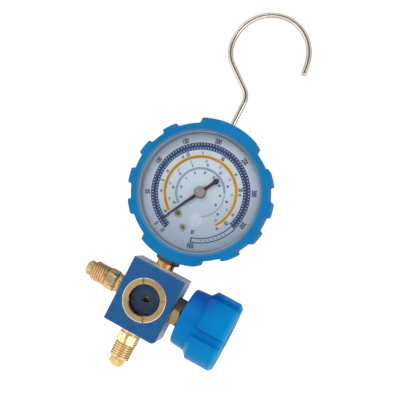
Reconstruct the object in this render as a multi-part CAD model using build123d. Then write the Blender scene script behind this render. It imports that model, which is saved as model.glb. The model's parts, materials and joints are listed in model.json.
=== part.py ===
from build123d import *
import os
from math import acos, atan2, cos, degrees, hypot, pi, radians, sin, tan

# A single-valve refrigerant manifold with its pressure gauge, in millimetres.
# Z runs up the gauge's stem to the hook, the dial faces -Y, and the valve is on the +X side.
# The origin is on the stem's axis at the height where the hook's arc hangs.

# Clearances
fit_gap = 0.05
thread_gap = 0.10
shell_gap = 0.20
sliding_gap = 0.08
bore_overrun = 0.5

# Hook: nickel-plated wire
hook_wire_diameter = 2.7
hook_axis_x = -2.1
hook_arc_radius = 21.0
hook_arc_centre_x = -1.9
hook_arc_height = 83.6
hook_first_bend_drop = 25.8
hook_second_bend_drop = 9.4
hook_first_bend_radius = 9.0
hook_second_bend_radius = 16.0
hook_tip_angle = 8.0
hook_tip_length = 6.0
hook_tip_round = 0.8
hook_head_diameter = 6.0
hook_head_thickness = 1.3
hook_head_room = 1.3
hook_washer_thickness = 0.7

# Gauge case
gauge_diameter = 68.0
bezel_wall = 0.5
bezel_skirt = 5.5
bezel_lip_width = 2.0
bezel_round = 0.35
case_wall = 1.2
case_depth = 18.9
case_corner_radius = 2.0
lens_thickness = 1.8
gasket_thickness = 0.8
stem_washer_diameter = 10.6
lens_space = 3.2

# Dial and pointer; angles run clockwise from the top as the reader sees them
dial_front = 6.0
dial_thickness = 0.5
dial_rim_gap = 0.4
dial_hole_diameter = 4.0
dial_screw_diameter = 2.0
dial_screw_head_diameter = 3.8
dial_screw_head_height = 0.6
dial_screw_length = 4.0
upper_dial_screw_radius = 16.2
upper_dial_screw_angle = -161.0
lower_dial_screw_radius = 20.7
pointer_rest_angle = -150.5
pointer_tip_radius = 25.0
pointer_tip_width = 0.5
pointer_root_width = 1.9
pointer_tail_radius = 12.0
pointer_tail_width = 1.6
pointer_flare_width = 3.2
pointer_flare_length = 3.6
pointer_thickness = 0.4
pointer_dial_gap = 1.0
pointer_disc_diameter = 6.2
pointer_cap_diameter = 5.6
pointer_cap_height = 1.1
pointer_cap_round = 0.4

# Gear train
gear_module = 0.25
pinion_teeth = 12
sector_full_teeth = 120
sector_teeth_cut = 14
sector_first_tooth = -1.5
pressure_angle = 20.0
pinion_addendum = 1.0
sector_addendum = 0.7
root_clearance = 0.25
gear_backlash = 0.05
flank_steps = 4
sector_front = 1.2
sector_thickness = 1.0
sector_arm_width = 1.8
sector_rim_width = 1.9
sector_hub_diameter = 5.0
tail_radius = 4.6
tail_angle = -40.0
tail_eye_diameter = 2.4
pointer_travel = 313.9
pinion_front = 1.7
pinion_face = 2.0
pinion_shaft_diameter = 1.4
pinion_pivot_diameter = 1.0
pinion_collar_diameter = 2.4
arbor_diameter = 1.4
arbor_seat_diameter = 1.8
arbor_collar_diameter = 3.0
end_play = 0.1

# Link from the sector's tail to the tube's tip; its far hole is a slot
link_drop = 6.5
link_lean = 1.4
link_width = 2.2
link_thickness = 0.8
link_gap = 0.4
link_pin_diameter = 1.2
slot_clearance = 0.35
slot_overrun = 0.4
lug_wall = 1.0

# Movement plates and what holds them
front_plate_back = 3.0
back_plate_front = -2.0
plate_thickness = 0.8
plate_web = 4.6
plate_bearing_width = 7.0
pillar_x = 7.5
pillar_rise = 11.5
pillar_diameter = 2.6
plate_foot_drop = 15.2
plate_foot_left = 1.8
plate_foot_right = 6.2
movement_screw_diameter = 1.4
movement_screw_head_diameter = 2.6
movement_screw_head_height = 0.8
movement_screw_length = 2.2

# Hairspring
hairspring_turns = 3.5
hairspring_outer_radius = 4.4
hairspring_strip = 0.12
hairspring_width = 0.6
hairspring_front = -0.9
hairspring_points_per_turn = 8
hairspring_stud_diameter = 1.0

# Bourdon tube
tube_radius = 25.0
tube_depth = -1.2
tube_width = 6.0
tube_thickness = 2.6
tube_wall = 0.4
tube_root_angle = -168.0
tube_end_angle = 115.0
tip_block_angle = 10.0
tip_block_lap = 3.0
tip_block_radial = 4.4
tip_block_width = 7.4

# Gauge socket: body, movement tongue, wrench hex and stem in one piece
socket_width = 16.0
socket_depth = 11.0
socket_bottom = 31.0
socket_top = 18.0
tongue_top = 12.0
tongue_thickness = 2.7
post_diameter = 4.6
case_boss_diameter = 6.4
case_boss_spacing = 9.6
case_boss_drop = 24.0
case_screw_diameter = 3.0
case_screw_head_diameter = 5.6
case_screw_head_height = 1.4
case_screw_depth = 5.5
socket_neck_diameter = 11.0
socket_hex = 12.0
hex_top_gap = 0.9
socket_hex_length = 7.5
stem_diameter = 10.0
stem_thread_diameter = 9.6
stem_thread_length = 7.0
stem_bore_diameter = 3.0
tube_passage_diameter = 2.0
hex_chamfer_angle = 30.0

# Boot: rubber guard
boot_valley_radius = 36.5
boot_tooth_radius = 38.4
boot_lug_radius = 39.3
boot_tooth_width = 8.4
boot_lug_width = 32.0
boot_tooth_pitch = 25.714
boot_first_tooth = 51.43
boot_front_lip = 1.5
boot_back_lip = 1.5
boot_lip_radius = 32.4
boot_lip_flare = 1.5
boot_back_opening_radius = 28.5
boot_corner_round = 0.9
boot_edge_round = 0.9
boot_bezel_gap = 0.1
boot_stem_hole_gap = 0.35

# Manifold block
block_width = 31.0
block_depth = 19.0
block_height = 37.0
gauge_to_block = 64.3
block_edge_chamfer = 0.4
block_corner_round = 2.6
passage_diameter = 4.0
port_hole_diameter = 9.8
side_port_depth = 5.0
long_port_depth = 7.5
valve_bore_diameter = 7.0
valve_seat_x = -3.0
bonnet_hole_diameter = 12.1
bonnet_hole_depth = 4.6

# Sight glass in the block's front
sight_ring_diameter = 24.0
sight_ring_opening = 17.0
sight_ring_thickness = 2.4
sight_ring_proud = 0.6
sight_ring_round = 0.5
sight_slot_width = 1.6
sight_slot_depth = 1.2
sight_slot_turn = 26.4
sight_glass_diameter = 20.0
sight_glass_thickness = 2.2
sight_gasket_thickness = 0.4
sight_chamber_diameter = 16.6
sight_chamber_depth = 0.8
sight_hole_diameter = 3.2

# Flare fittings
flare_thread_diameter = 11.1
flare_thread_length = 8.6
flare_nose_diameter = 8.4
flare_nose_chamfer = 1.2
flare_bore_diameter = 4.8
flare_hex = 11.1
flare_stock_diameter = 11.9
flare_hex_length = 5.3
flare_insert_diameter = 9.6
flare_thread_chamfer = 0.4
flare_relief_width = 0.6
flare_relief_diameter = 9.6
flare_collar_diameter = 10.6
flare_groove_diameter = 9.4
flare_groove_width = 0.6
side_hex_turn = 35.0
side_collar_length = 3.9
side_nose_length = 4.3
bottom_hex_turn = 30.0
bottom_collar_length = 2.1
bottom_nose_length = 4.95

# Valve
valve_axis_rise = 1.6
bonnet_hex = 15.0
bonnet_hex_length = 4.8
bonnet_hex_turn = -11.0
bonnet_thread_length = 5.1
stem_screw_diameter = 5.9
valve_travel = 2.5
screw_pitch = 1.0
disc_diameter = 5.0
disc_thickness = 1.2
disc_seat_gap = 0.05
piston_nose_diameter = 5.2
piston_nose_length = 4.5
piston_guide_length = 4.4
piston_groove_start = 1.3
piston_groove_width = 1.6
ring_cord_diameter = 1.2
stem_nose_diameter = 3.0
stem_nose_length = 1.1
stem_screw_length = 6.1
stem_shank_diameter = 5.0
packing_thickness = 1.8
packing_diameter = 8.3
gland_hex = 11.0
gland_hex_length = 2.4
stem_square = 3.5
stem_square_gap = 0.2

# Knob
knob_gap = 1.0
knob_length = 26.4
knob_drum_inner_radius = 15.8
knob_drum_radius = 16.5
knob_drum_round = 1.3
knob_lobe_radius = 19.8
knob_lobe_start = 8.6
knob_lobe_ramp = 2.6
knob_end_chamfer = 1.8
knob_lobes = 5
knob_groove_width = 5.0
knob_groove_turn = 5.0
knob_groove_round = 0.6
knob_gland_recess_diameter = 15.0
knob_gland_recess_depth = 5.7
knob_screw_recess_diameter = 12.0
knob_screw_recess_depth = 3.5
knob_washer_diameter = 9.0
knob_washer_thickness = 0.8
knob_screw_diameter = 3.0
knob_screw_length = 8.0
knob_screw_head_diameter = 6.0
knob_screw_head_height = 1.9

# Levels worked out from the sizes above
wire_radius = hook_wire_diameter / 2
gauge_z = -(hook_arc_height + hook_arc_radius - wire_radius)
block_z = gauge_z - gauge_to_block
bezel_radius = gauge_diameter / 2
bezel_opening_radius = bezel_radius - bezel_lip_width
case_radius = bezel_radius - bezel_wall - 0.5 * shell_gap
case_inner_radius = case_radius - case_wall
lens_back = dial_front + lens_space
lens_front = lens_back + lens_thickness
case_front = lens_back - gasket_thickness
case_back = case_front - case_depth
case_floor = case_back + case_wall
bezel_front = lens_front + bezel_wall
boot_front = bezel_front + boot_front_lip
boot_back = case_back - boot_back_lip
dial_back = dial_front - dial_thickness
socket_front = dial_back
sector_back = sector_front - sector_thickness
link_back = sector_front + link_gap
plate_front = front_plate_back + plate_thickness
plate_back = back_plate_front - plate_thickness
pointer_back = dial_front + pointer_dial_gap
pointer_front = pointer_back + pointer_thickness
pinion_pitch_radius = gear_module * pinion_teeth / 2
sector_pitch_radius = gear_module * sector_full_teeth / 2
sector_x = pinion_pitch_radius + sector_pitch_radius
gear_ratio = sector_full_teeth / pinion_teeth
sector_travel = pointer_travel / gear_ratio
hex_top = -(bezel_radius + hex_top_gap - bezel_wall)
hex_bottom = hex_top - socket_hex_length
block_top = block_height / 2
stem_bottom = block_top - gauge_to_block
block_front = block_depth / 2
valve_face_x = block_width / 2
bonnet_inner_x = valve_face_x - bonnet_hole_depth
bonnet_outer_x = valve_face_x + bonnet_hex_length
knob_inner_x = bonnet_outer_x + knob_gap
gland_floor_x = knob_inner_x + knob_gland_recess_depth
knob_screw_floor_x = knob_inner_x + knob_length - knob_screw_recess_depth
stem_square_end_x = knob_screw_floor_x - stem_square_gap
piston_nose_x = valve_seat_x + disc_seat_gap + disc_thickness
piston_guide_x = piston_nose_x + piston_nose_length
piston_end_x = piston_guide_x + piston_guide_length
stem_screw_end_x = piston_end_x + stem_screw_length
bonnet_thread_end_x = bonnet_inner_x + bonnet_thread_length

# Frames: the gauge as its reader sees it, and one frame along each port's axis
gauge_frame = Plane(origin=(0, 0, gauge_z), x_dir=(1, 0, 0), z_dir=(0, -1, 0)).location
front_frame = Plane(origin=(0, 0, block_z), x_dir=(1, 0, 0), z_dir=(0, -1, 0)).location
valve_frame = Plane(origin=(0, 0, block_z + valve_axis_rise), x_dir=(0, 1, 0), z_dir=(1, 0, 0)).location
side_frame = Plane(origin=(-block_width / 2, 0, block_z), x_dir=(0, -1, 0), z_dir=(-1, 0, 0)).location
bottom_frame = Plane(origin=(0, 0, block_z - block_top), x_dir=(1, 0, 0), z_dir=(0, 0, -1)).location


standing = (Align.CENTER, Align.CENTER, Align.MIN)


def disc(diameter, low, high):
    return Pos(0, 0, low) * Cylinder(diameter / 2, high - low, align=standing)


def hole(diameter, low, high):
    # a cutter that runs a little past both faces
    return disc(diameter, low - bore_overrun, high + bore_overrun)


def at(point, shape):
    return Pos(point[0], point[1], 0) * shape


def turned(outline):
    # the outline is (radius, height) points, turned about the frame's Z axis
    face = make_face(Polyline(*[(radius, height) for radius, height in outline], close=True))
    return revolve(Plane.XZ * face, Axis.Z)


def prism(outline, low, high):
    return Pos(0, 0, low) * extrude(outline, high - low)


def hexagon(flats, low, high, turn=0.0):
    return prism(RegularPolygon(flats / 2, 6, major_radius=False, rotation=turn), low, high)


def chamfered_hexagon(flats, low, high, turn=0.0, low_end=True, high_end=True):
    corner = flats / 2 / cos(pi / 6)
    drop = (corner - flats / 2) * tan(radians(hex_chamfer_angle))
    bottom = flats / 2 if low_end else corner
    top = flats / 2 if high_end else corner
    side = [(bottom, low), (corner, low + drop), (corner, high - drop), (top, high)]
    envelope = turned([(0, low), *side, (0, high)])
    return hexagon(flats, low, high, turn) & envelope


def bar(start, end, width):
    # a flat strip with round ends from one centre to the other
    length = hypot(end[0] - start[0], end[1] - start[1])
    angle = degrees(atan2(end[1] - start[1], end[0] - start[0]))
    middle = Pos((start[0] + end[0]) / 2, (start[1] + end[1]) / 2)
    return middle * Rot(0, 0, angle) * SlotCenterToCenter(length, width)


def dial_point(radius, angle):
    return (radius * sin(radians(angle)), radius * cos(radians(angle)))


def polar(radius, angle):
    return (radius * cos(radians(angle)), radius * sin(radians(angle)))


def upright(radius, low, high):
    # a rod along the gauge's vertical axis, in the gauge's frame
    return Pos(0, low, 0) * Rot(-90, 0, 0) * Cylinder(radius, high - low, align=standing)


def upright_hexagon(flats, low, high):
    length = high - low
    rod = chamfered_hexagon(flats, 0, length)
    return Pos(0, low, 0) * Rot(-90, 0, 0) * rod


# Hook and its washer


def build_hook():
    bottom = gauge_z + boot_pocket_floor() - hook_washer_thickness
    left = hook_arc_centre_x - hook_arc_radius
    arc_z = gauge_z + hook_arc_height
    across, up = polar(hook_arc_radius, hook_tip_angle)
    arc_end = (hook_arc_centre_x + across, arc_z + up)
    across, up = polar(hook_tip_length, hook_tip_angle - 90.0)
    tip_end = (arc_end[0] + across, arc_end[1] + up)
    shank = FilletPolyline(
        (hook_axis_x, bottom),
        (hook_axis_x, arc_z - hook_first_bend_drop),
        (left, arc_z - hook_second_bend_drop),
        (left, arc_z),
        radius=[hook_first_bend_radius, hook_second_bend_radius],
    )
    loop = ThreePointArc((left, arc_z), (hook_arc_centre_x, arc_z + hook_arc_radius), arc_end)
    tip = Line(arc_end, tip_end)
    path = Plane.XZ * Wire(shank.edges() + loop.edges() + tip.edges())
    section = Plane(origin=(hook_axis_x, 0, bottom), z_dir=(0, 0, 1)) * Circle(wire_radius)
    wire = sweep(section, path)
    round_edges = wire.edges().filter_by(GeomType.CIRCLE)
    wire = fillet(round_edges.sort_by_distance((tip_end[0], 0, tip_end[1]))[0], hook_tip_round)
    head = disc(hook_head_diameter, bottom - hook_head_thickness, bottom)
    return wire + at((hook_axis_x, 0), head)


def boot_pocket_floor():
    # height of the rubber shoulder above the washer, from the gauge's centre
    return case_radius + shell_gap + hook_head_room + hook_head_thickness + hook_washer_thickness


def build_hook_washer():
    top = gauge_z + boot_pocket_floor()
    bottom = top - hook_washer_thickness
    washer = disc(hook_head_diameter + 2 * thread_gap, bottom, top)
    washer -= hole(hook_wire_diameter + 2 * fit_gap, bottom, top)
    return at((hook_axis_x, 0), washer)


# Boot


def build_boot():
    outline = Circle(boot_valley_radius)
    tooth_rows = Circle(boot_tooth_radius)
    # each strip makes a tooth at both of its ends
    for side in (1, -1):
        for step in range(2):
            turn = side * (boot_first_tooth + step * boot_tooth_pitch)
            outline += tooth_rows & Rot(0, 0, turn) * Rectangle(boot_tooth_width, 2 * boot_lug_radius)
    outline += Circle(boot_lug_radius) & Rectangle(boot_lug_width, 2 * boot_lug_radius)
    outline = fillet(outline.vertices(), boot_corner_round)
    body = prism(outline, boot_back, boot_front)
    body = fillet(body.edges().filter_by(Plane.XY), boot_edge_round)
    case_room = case_radius + shell_gap
    bezel_room = bezel_radius + boot_bezel_gap
    bezel_skirt_end = bezel_front - bezel_skirt - shell_gap
    cavity = turned(
        [
            (0, boot_back - bore_overrun),
            (boot_back_opening_radius, boot_back - bore_overrun),
            (boot_back_opening_radius, case_back),
            (case_room, case_back),
            (case_room, bezel_skirt_end),
            (bezel_room, bezel_skirt_end),
            (bezel_room, bezel_front),
            (boot_lip_radius, bezel_front),
            (boot_lip_radius + boot_lip_flare, boot_front),
            (boot_lip_radius + boot_lip_flare, boot_front + bore_overrun),
            (0, boot_front + bore_overrun),
        ]
    )
    outside = boot_lug_radius + bore_overrun
    stem_hole = upright(socket_hex / 2 / cos(pi / 6) + boot_stem_hole_gap, -outside, -bezel_radius / 2)
    wire_hole = upright(wire_radius + sliding_gap, bezel_radius / 2, outside)
    head_pocket = upright(hook_head_diameter / 2 + shell_gap, bezel_radius / 2, boot_pocket_floor())
    hook_room = at((hook_axis_x, 0), wire_hole + head_pocket)
    return gauge_frame * (body - cavity - stem_hole - hook_room)


# Case, bezel, lens and gasket


def build_case_shell():
    outer = turned([(0, case_back), (case_radius, case_back), (case_radius, case_front), (0, case_front)])
    outer = fillet(outer.edges().group_by(Axis.Z)[0], case_corner_radius)
    room = turned(
        [
            (0, case_floor),
            (case_inner_radius, case_floor),
            (case_inner_radius, case_front + bore_overrun),
            (0, case_front + bore_overrun),
        ]
    )
    room = fillet(room.edges().group_by(Axis.Z)[0], case_corner_radius - case_wall / 2)
    shell = outer - room
    neck_hole_radius = socket_neck_diameter / 2 + thread_gap
    shell -= upright(neck_hole_radius, -case_radius - bore_overrun, -case_inner_radius / 2)
    for side in (1, -1):
        centre = (side * case_boss_spacing / 2, -case_boss_drop)
        shell -= at(centre, hole(case_screw_diameter + 2 * thread_gap, case_back, case_floor))
    return gauge_frame * shell


def build_bezel_ring():
    skirt_inner = case_radius + shell_gap / 2
    back = bezel_front - bezel_skirt
    ring = turned(
        [
            (skirt_inner, back),
            (bezel_radius, back),
            (bezel_radius, bezel_front),
            (bezel_opening_radius, bezel_front),
            (bezel_opening_radius, lens_front),
            (skirt_inner, lens_front),
        ]
    )
    ring = fillet(ring.edges().group_by(Axis.Z)[-1].sort_by(SortBy.RADIUS)[-1], bezel_round)
    return gauge_frame * ring


def build_lens():
    return gauge_frame * disc(2 * (case_radius - shell_gap / 4), lens_back, lens_front)


def build_lens_gasket():
    ring = disc(2 * (case_radius - shell_gap / 2), case_front, lens_back)
    return gauge_frame * (ring - hole(2 * case_inner_radius, case_front, lens_back))


# Dial, its screws and the pointer


def dial_screw_points():
    return [
        dial_point(upper_dial_screw_radius, upper_dial_screw_angle),
        dial_point(lower_dial_screw_radius, 180.0),
    ]


def build_dial():
    plate = disc(2 * (case_inner_radius - dial_rim_gap), dial_back, dial_front)
    plate -= hole(dial_hole_diameter, dial_back, dial_front)
    for point in dial_screw_points():
        plate -= at(point, hole(dial_screw_diameter + 2 * fit_gap, dial_back, dial_front))
    return gauge_frame * plate


def build_dial_screws():
    screw = disc(dial_screw_diameter, dial_front - dial_screw_length, dial_front)
    screw += disc(dial_screw_head_diameter, dial_front, dial_front + dial_screw_head_height)
    return gauge_frame * Compound([at(point, screw) for point in dial_screw_points()])


def build_pointer():
    disc_radius = pointer_disc_diameter / 2
    flare_start = -(pointer_tail_radius - pointer_flare_length)
    half = [
        (pointer_tip_width / 2, pointer_tip_radius),
        (pointer_root_width / 2, disc_radius),
        (pointer_tail_width / 2, -disc_radius),
        (pointer_tail_width / 2, flare_start),
        (pointer_flare_width / 2, flare_start - pointer_flare_length / 2),
        (pointer_tail_width / 2, -pointer_tail_radius),
    ]
    outline = half + [(-x, y) for x, y in reversed(half)]
    blade = make_face(Polyline(*outline, close=True)) + Circle(disc_radius)
    blade -= Circle(pinion_shaft_diameter / 2 + fit_gap)
    return gauge_frame * Rot(0, 0, -pointer_rest_angle) * prism(blade, pointer_back, pointer_front)


def build_pointer_cap():
    top = pointer_front + pointer_cap_height
    cap = disc(pointer_cap_diameter, pointer_front, top)
    cap = fillet(cap.edges().group_by(Axis.Z)[-1], pointer_cap_round)
    cap -= disc(pinion_shaft_diameter + 2 * fit_gap, pointer_back, pointer_front + pointer_cap_height / 2)
    return gauge_frame * cap


# Gear train


def half_tooth_angle(radius, pitch_radius, teeth):
    # half the tooth's angle at a radius, on the involute above the base circle
    base_radius = pitch_radius * cos(radians(pressure_angle))
    at_pitch = 90.0 / teeth - degrees(gear_backlash / 2 / (2 * pitch_radius))
    slope = acos(base_radius / max(radius, base_radius))
    lean = radians(pressure_angle)
    return at_pitch + degrees((tan(lean) - lean) - (tan(slope) - slope))


def tooth_points(centre, pitch_radius, teeth, root_radius, tip_radius):
    rising = []
    falling = []
    for step in range(flank_steps + 1):
        radius = root_radius + (tip_radius - root_radius) * step / flank_steps
        half = half_tooth_angle(radius, pitch_radius, teeth)
        rising.append(polar(radius, centre - half))
        falling.insert(0, polar(radius, centre + half))
    return rising + falling


def pinion_outline():
    root = pinion_pitch_radius - gear_module * (sector_addendum + root_clearance)
    tip = pinion_pitch_radius + gear_module * pinion_addendum
    points = []
    for tooth in range(pinion_teeth):
        points += tooth_points(tooth * 360.0 / pinion_teeth, pinion_pitch_radius, pinion_teeth, root, tip)
    return make_face(Polyline(*points, close=True))


def sector_outline():
    root = sector_pitch_radius - gear_module * (pinion_addendum + root_clearance)
    tip = sector_pitch_radius + gear_module * sector_addendum
    pitch = 360.0 / sector_full_teeth
    # the first space lies on the line to the pinion, which is at 180 degrees
    last = 180.0 - pitch * sector_first_tooth
    first = last - pitch * (sector_teeth_cut - 1)
    points = []
    for tooth in range(sector_teeth_cut):
        points += tooth_points(first + tooth * pitch, sector_pitch_radius, sector_full_teeth, root, tip)
    low = first - pitch
    high = last + pitch
    points = [(0, 0), polar(root, low)] + points + [polar(root, high)]
    wedge = make_face(Polyline(*points, close=True))
    window_outer = root - sector_rim_width
    window_inner = sector_hub_diameter
    inset = degrees(sector_arm_width / window_outer)
    corners = [polar(2 * root, low + inset), polar(2 * root, high - inset)]
    opening = make_face(Polyline((0, 0), *corners, close=True))
    return wedge - ((Circle(window_outer) - Circle(window_inner)) & opening)


def tail_point(turn=0.0):
    across, up = polar(tail_radius, tail_angle + turn)
    return (sector_x + across, up)


def build_sector_gear():
    across, up = polar(tail_radius, tail_angle)
    plate = sector_outline() + Circle(sector_hub_diameter / 2)
    plate += bar((0, 0), (across, up), tail_eye_diameter)
    plate -= Circle(arbor_seat_diameter / 2 + fit_gap)
    plate -= Pos(across, up) * Circle(link_pin_diameter / 2 + fit_gap)
    return gauge_frame * Pos(sector_x, 0, 0) * prism(plate, sector_back, sector_front)


def build_sector_arbor():
    back_shoulder = back_plate_front + end_play
    front_shoulder = front_plate_back - end_play
    arbor = disc(arbor_diameter, plate_back, plate_front)
    arbor += disc(arbor_seat_diameter, back_shoulder, front_shoulder)
    arbor += disc(arbor_collar_diameter, back_shoulder, sector_back)
    arbor += disc(arbor_collar_diameter, sector_front, front_shoulder)
    return gauge_frame * Pos(sector_x, 0, 0) * arbor


def build_pinion():
    back_shoulder = back_plate_front + end_play
    front_shoulder = front_plate_back - end_play
    gear = prism(pinion_outline(), pinion_front - pinion_face, pinion_front)
    shaft = disc(pinion_pivot_diameter, plate_back, back_shoulder)
    shaft += disc(pinion_collar_diameter, back_shoulder, pinion_front - pinion_face)
    shaft += disc(pinion_collar_diameter, pinion_front, front_shoulder)
    shaft += disc(pinion_shaft_diameter, front_shoulder, pointer_front + pointer_cap_height / 2 - fit_gap)
    return gauge_frame * (gear + shaft)


def link_foot(turn=0.0):
    across, up = tail_point(turn)
    return (across - link_lean, up - link_drop)


def build_link():
    top = tail_point()
    foot = link_foot()
    front = link_back + link_thickness
    link = prism(bar(top, foot, link_width), link_back, front)
    for point in (top, foot):
        link += at(point, disc(link_pin_diameter, sector_back, front))
    return gauge_frame * link


def spiral_edge(offset):
    # one side of the hairspring's strip, as a curve through evenly spaced points
    start = pinion_collar_diameter / 2 + fit_gap + hairspring_strip / 2
    growth = hairspring_outer_radius - start
    steps = int(hairspring_turns * hairspring_points_per_turn)
    points = []
    for step in range(steps + 1):
        share = step / steps
        points.append(polar(start + growth * share + offset, 360.0 * hairspring_turns * share))
    return Spline(*points)


def build_hairspring():
    inner = spiral_edge(-hairspring_strip / 2)
    outer = spiral_edge(hairspring_strip / 2)
    ends = [Line(inner @ 0, outer @ 0), Line(inner @ 1, outer @ 1)]
    strip = make_face([inner, outer, *ends])
    return gauge_frame * prism(strip, hairspring_front - hairspring_width, hairspring_front)


def hairspring_end():
    end_radius = hairspring_outer_radius + hairspring_strip / 2 + hairspring_stud_diameter / 2
    return polar(end_radius, 360.0 * hairspring_turns)


def build_hairspring_stud():
    stud = disc(hairspring_stud_diameter, back_plate_front, hairspring_front)
    return gauge_frame * at(hairspring_end(), stud)


# Movement plates, pillars and screws


def pillar_points():
    return [(pillar_x, pillar_rise), (pillar_x, -pillar_rise)]


def foot_points():
    return [(plate_foot_left, -plate_foot_drop), (plate_foot_right, -plate_foot_drop)]


def plate_outline():
    centre = (0, 0)
    pivot = (sector_x, 0)
    plate = bar(centre, pivot, plate_bearing_width)
    for pillar in pillar_points():
        plate += bar(centre, pillar, plate_web)
        plate += bar(pillar, pivot, plate_web)
    return plate


def drill_plate(plate, centre_diameter, screw_points, low, high):
    plate -= hole(centre_diameter + 2 * fit_gap, low, high)
    plate -= at((sector_x, 0), hole(arbor_diameter + 2 * fit_gap, low, high))
    for point in screw_points:
        plate -= at(point, hole(movement_screw_diameter + 2 * fit_gap, low, high))
    return plate


def build_movement_front_plate():
    plate = prism(plate_outline(), front_plate_back, plate_front)
    plate = drill_plate(plate, pinion_shaft_diameter, pillar_points(), front_plate_back, plate_front)
    return gauge_frame * plate


def build_movement_back_plate():
    lower_pillar = pillar_points()[1]
    outline = plate_outline()
    outline += bar(lower_pillar, foot_points()[1], plate_web)
    outline += bar(*foot_points(), plate_web)
    plate = prism(outline, plate_back, back_plate_front)
    plate = drill_plate(plate, pinion_pivot_diameter, foot_points(), plate_back, back_plate_front)
    return gauge_frame * plate


def build_movement_pillars():
    pillar = disc(pillar_diameter, back_plate_front, front_plate_back)
    pillar -= disc(
        movement_screw_diameter + 2 * fit_gap,
        front_plate_back - movement_screw_length - fit_gap,
        front_plate_back + bore_overrun,
    )
    return gauge_frame * Compound([at(point, pillar) for point in pillar_points()])


def build_movement_screws():
    screw = disc(movement_screw_diameter, -movement_screw_length - plate_thickness, 0)
    screw += disc(movement_screw_head_diameter, 0, movement_screw_head_height)
    front = [at(point, Pos(0, 0, plate_front) * screw) for point in pillar_points()]
    feet = [at(point, Pos(0, 0, back_plate_front) * screw) for point in foot_points()]
    return gauge_frame * Compound(front + feet)


# Bourdon tube and tip block


def curved_bar(width, thickness, first_angle, last_angle, square=False):
    # a section swept round the gauge's axis between two dial angles
    section = Rectangle(thickness, width) if square else Rot(0, 0, 90) * SlotOverall(width, thickness)
    ring = revolve(Plane.XZ * (Pos(tube_radius, tube_depth) * section), Axis.Z, last_angle - first_angle)
    return Rot(0, 0, 90 - last_angle) * ring


def build_bourdon_tube():
    tube = curved_bar(tube_width, tube_thickness, tube_root_angle, tube_end_angle)
    bore = curved_bar(
        tube_width - 2 * tube_wall,
        tube_thickness - 2 * tube_wall,
        tube_root_angle - bore_overrun,
        tube_end_angle + bore_overrun,
    )
    return gauge_frame * (tube - bore)


def build_tip_block():
    start = tube_end_angle - tip_block_lap
    block = curved_bar(tip_block_width, tip_block_radial, start, start + tip_block_angle, square=True)
    middle = dial_point(tube_radius - tip_block_radial / 4, start + tip_block_angle / 2)
    slot_width = link_pin_diameter + 2 * slot_clearance
    # the slot follows the pin's arc in two straight halves
    over = degrees(slot_overrun / tail_radius)
    first = link_foot(-over)
    halfway = link_foot(sector_travel / 2)
    last = link_foot(sector_travel + over)
    lug = bar(first, middle, slot_width + 2 * lug_wall)
    slot = Sketch()
    for start_point, end_point in ((first, halfway), (halfway, last)):
        lug += bar(start_point, end_point, slot_width + 2 * lug_wall)
        slot += bar(start_point, end_point, slot_width)
    lug = prism(lug, sector_back, sector_front)
    slot = prism(slot, sector_back - bore_overrun, sector_front + bore_overrun)
    tube_room = curved_bar(
        tube_width + 2 * fit_gap,
        tube_thickness + 2 * fit_gap,
        start - 2 * tip_block_angle,
        tube_end_angle + fit_gap,
    )
    return gauge_frame * (block + lug - slot - tube_room)


# Gauge socket and stem


def build_gauge_socket():
    height = socket_bottom - socket_top
    body = Pos(0, -(socket_bottom + socket_top) / 2, 0) * Box(socket_width, height, socket_depth)
    tongue = Box(socket_width, socket_top - tongue_top, tongue_thickness)
    tongue_z = -socket_front + tongue_thickness / 2
    socket = body + Pos(0, -(socket_top + tongue_top) / 2, tongue_z) * tongue
    upper, lower = dial_screw_points()
    socket += at(upper, disc(post_diameter, -socket_front, socket_front))
    for side in (1, -1):
        centre = (side * case_boss_spacing / 2, -case_boss_drop)
        socket += at(centre, disc(case_boss_diameter, case_floor, -socket_front + bore_overrun))
        screw_end = case_back + case_screw_depth + fit_gap
        socket -= at(centre, disc(case_screw_diameter + 2 * fit_gap, case_back, screw_end))
    socket += upright(socket_neck_diameter / 2, hex_top, -socket_bottom + bore_overrun)
    socket += upright_hexagon(socket_hex, hex_bottom, hex_top)
    socket += upright(stem_diameter / 2, stem_bottom, hex_bottom)
    socket += upright(stem_thread_diameter / 2, stem_bottom - stem_thread_length, stem_bottom)
    passage_top = -tube_radius + tube_passage_diameter / 2
    socket -= upright(stem_bore_diameter / 2, stem_bottom - stem_thread_length - bore_overrun, passage_top)
    root_x, root_y = dial_point(tube_radius, tube_root_angle)
    passage = Cylinder(tube_passage_diameter / 2, -root_x, align=standing)
    socket -= Pos(root_x, root_y, tube_depth / 2) * Rot(0, 90, 0) * passage
    socket -= curved_bar(tube_width + 2 * fit_gap, tube_thickness + 2 * fit_gap, tube_root_angle, 0.0)
    for point in (upper, lower):
        screw_end = dial_front - dial_screw_length - fit_gap
        socket -= at(point, disc(dial_screw_diameter + 2 * fit_gap, screw_end, socket_front + bore_overrun))
    for point in foot_points():
        screw_end = plate_back - movement_screw_length - fit_gap
        socket -= at(point, disc(movement_screw_diameter + 2 * fit_gap, screw_end, back_plate_front))
    return gauge_frame * socket


def build_case_screws():
    screw = disc(case_screw_diameter, case_back, case_back + case_screw_depth)
    screw += disc(case_screw_head_diameter, case_back - case_screw_head_height, case_back)
    screw = fillet(screw.edges().group_by(Axis.Z)[0], case_screw_head_height / 2)
    centres = [(side * case_boss_spacing / 2, -case_boss_drop) for side in (1, -1)]
    return gauge_frame * Compound([at(centre, screw) for centre in centres])


def build_stem_washer():
    top = stem_bottom + gasket_thickness
    ring = upright(stem_washer_diameter / 2, stem_bottom, top)
    ring -= upright(stem_diameter / 2 + fit_gap, stem_bottom - bore_overrun, top + bore_overrun)
    return gauge_frame * ring


# Manifold block


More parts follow.
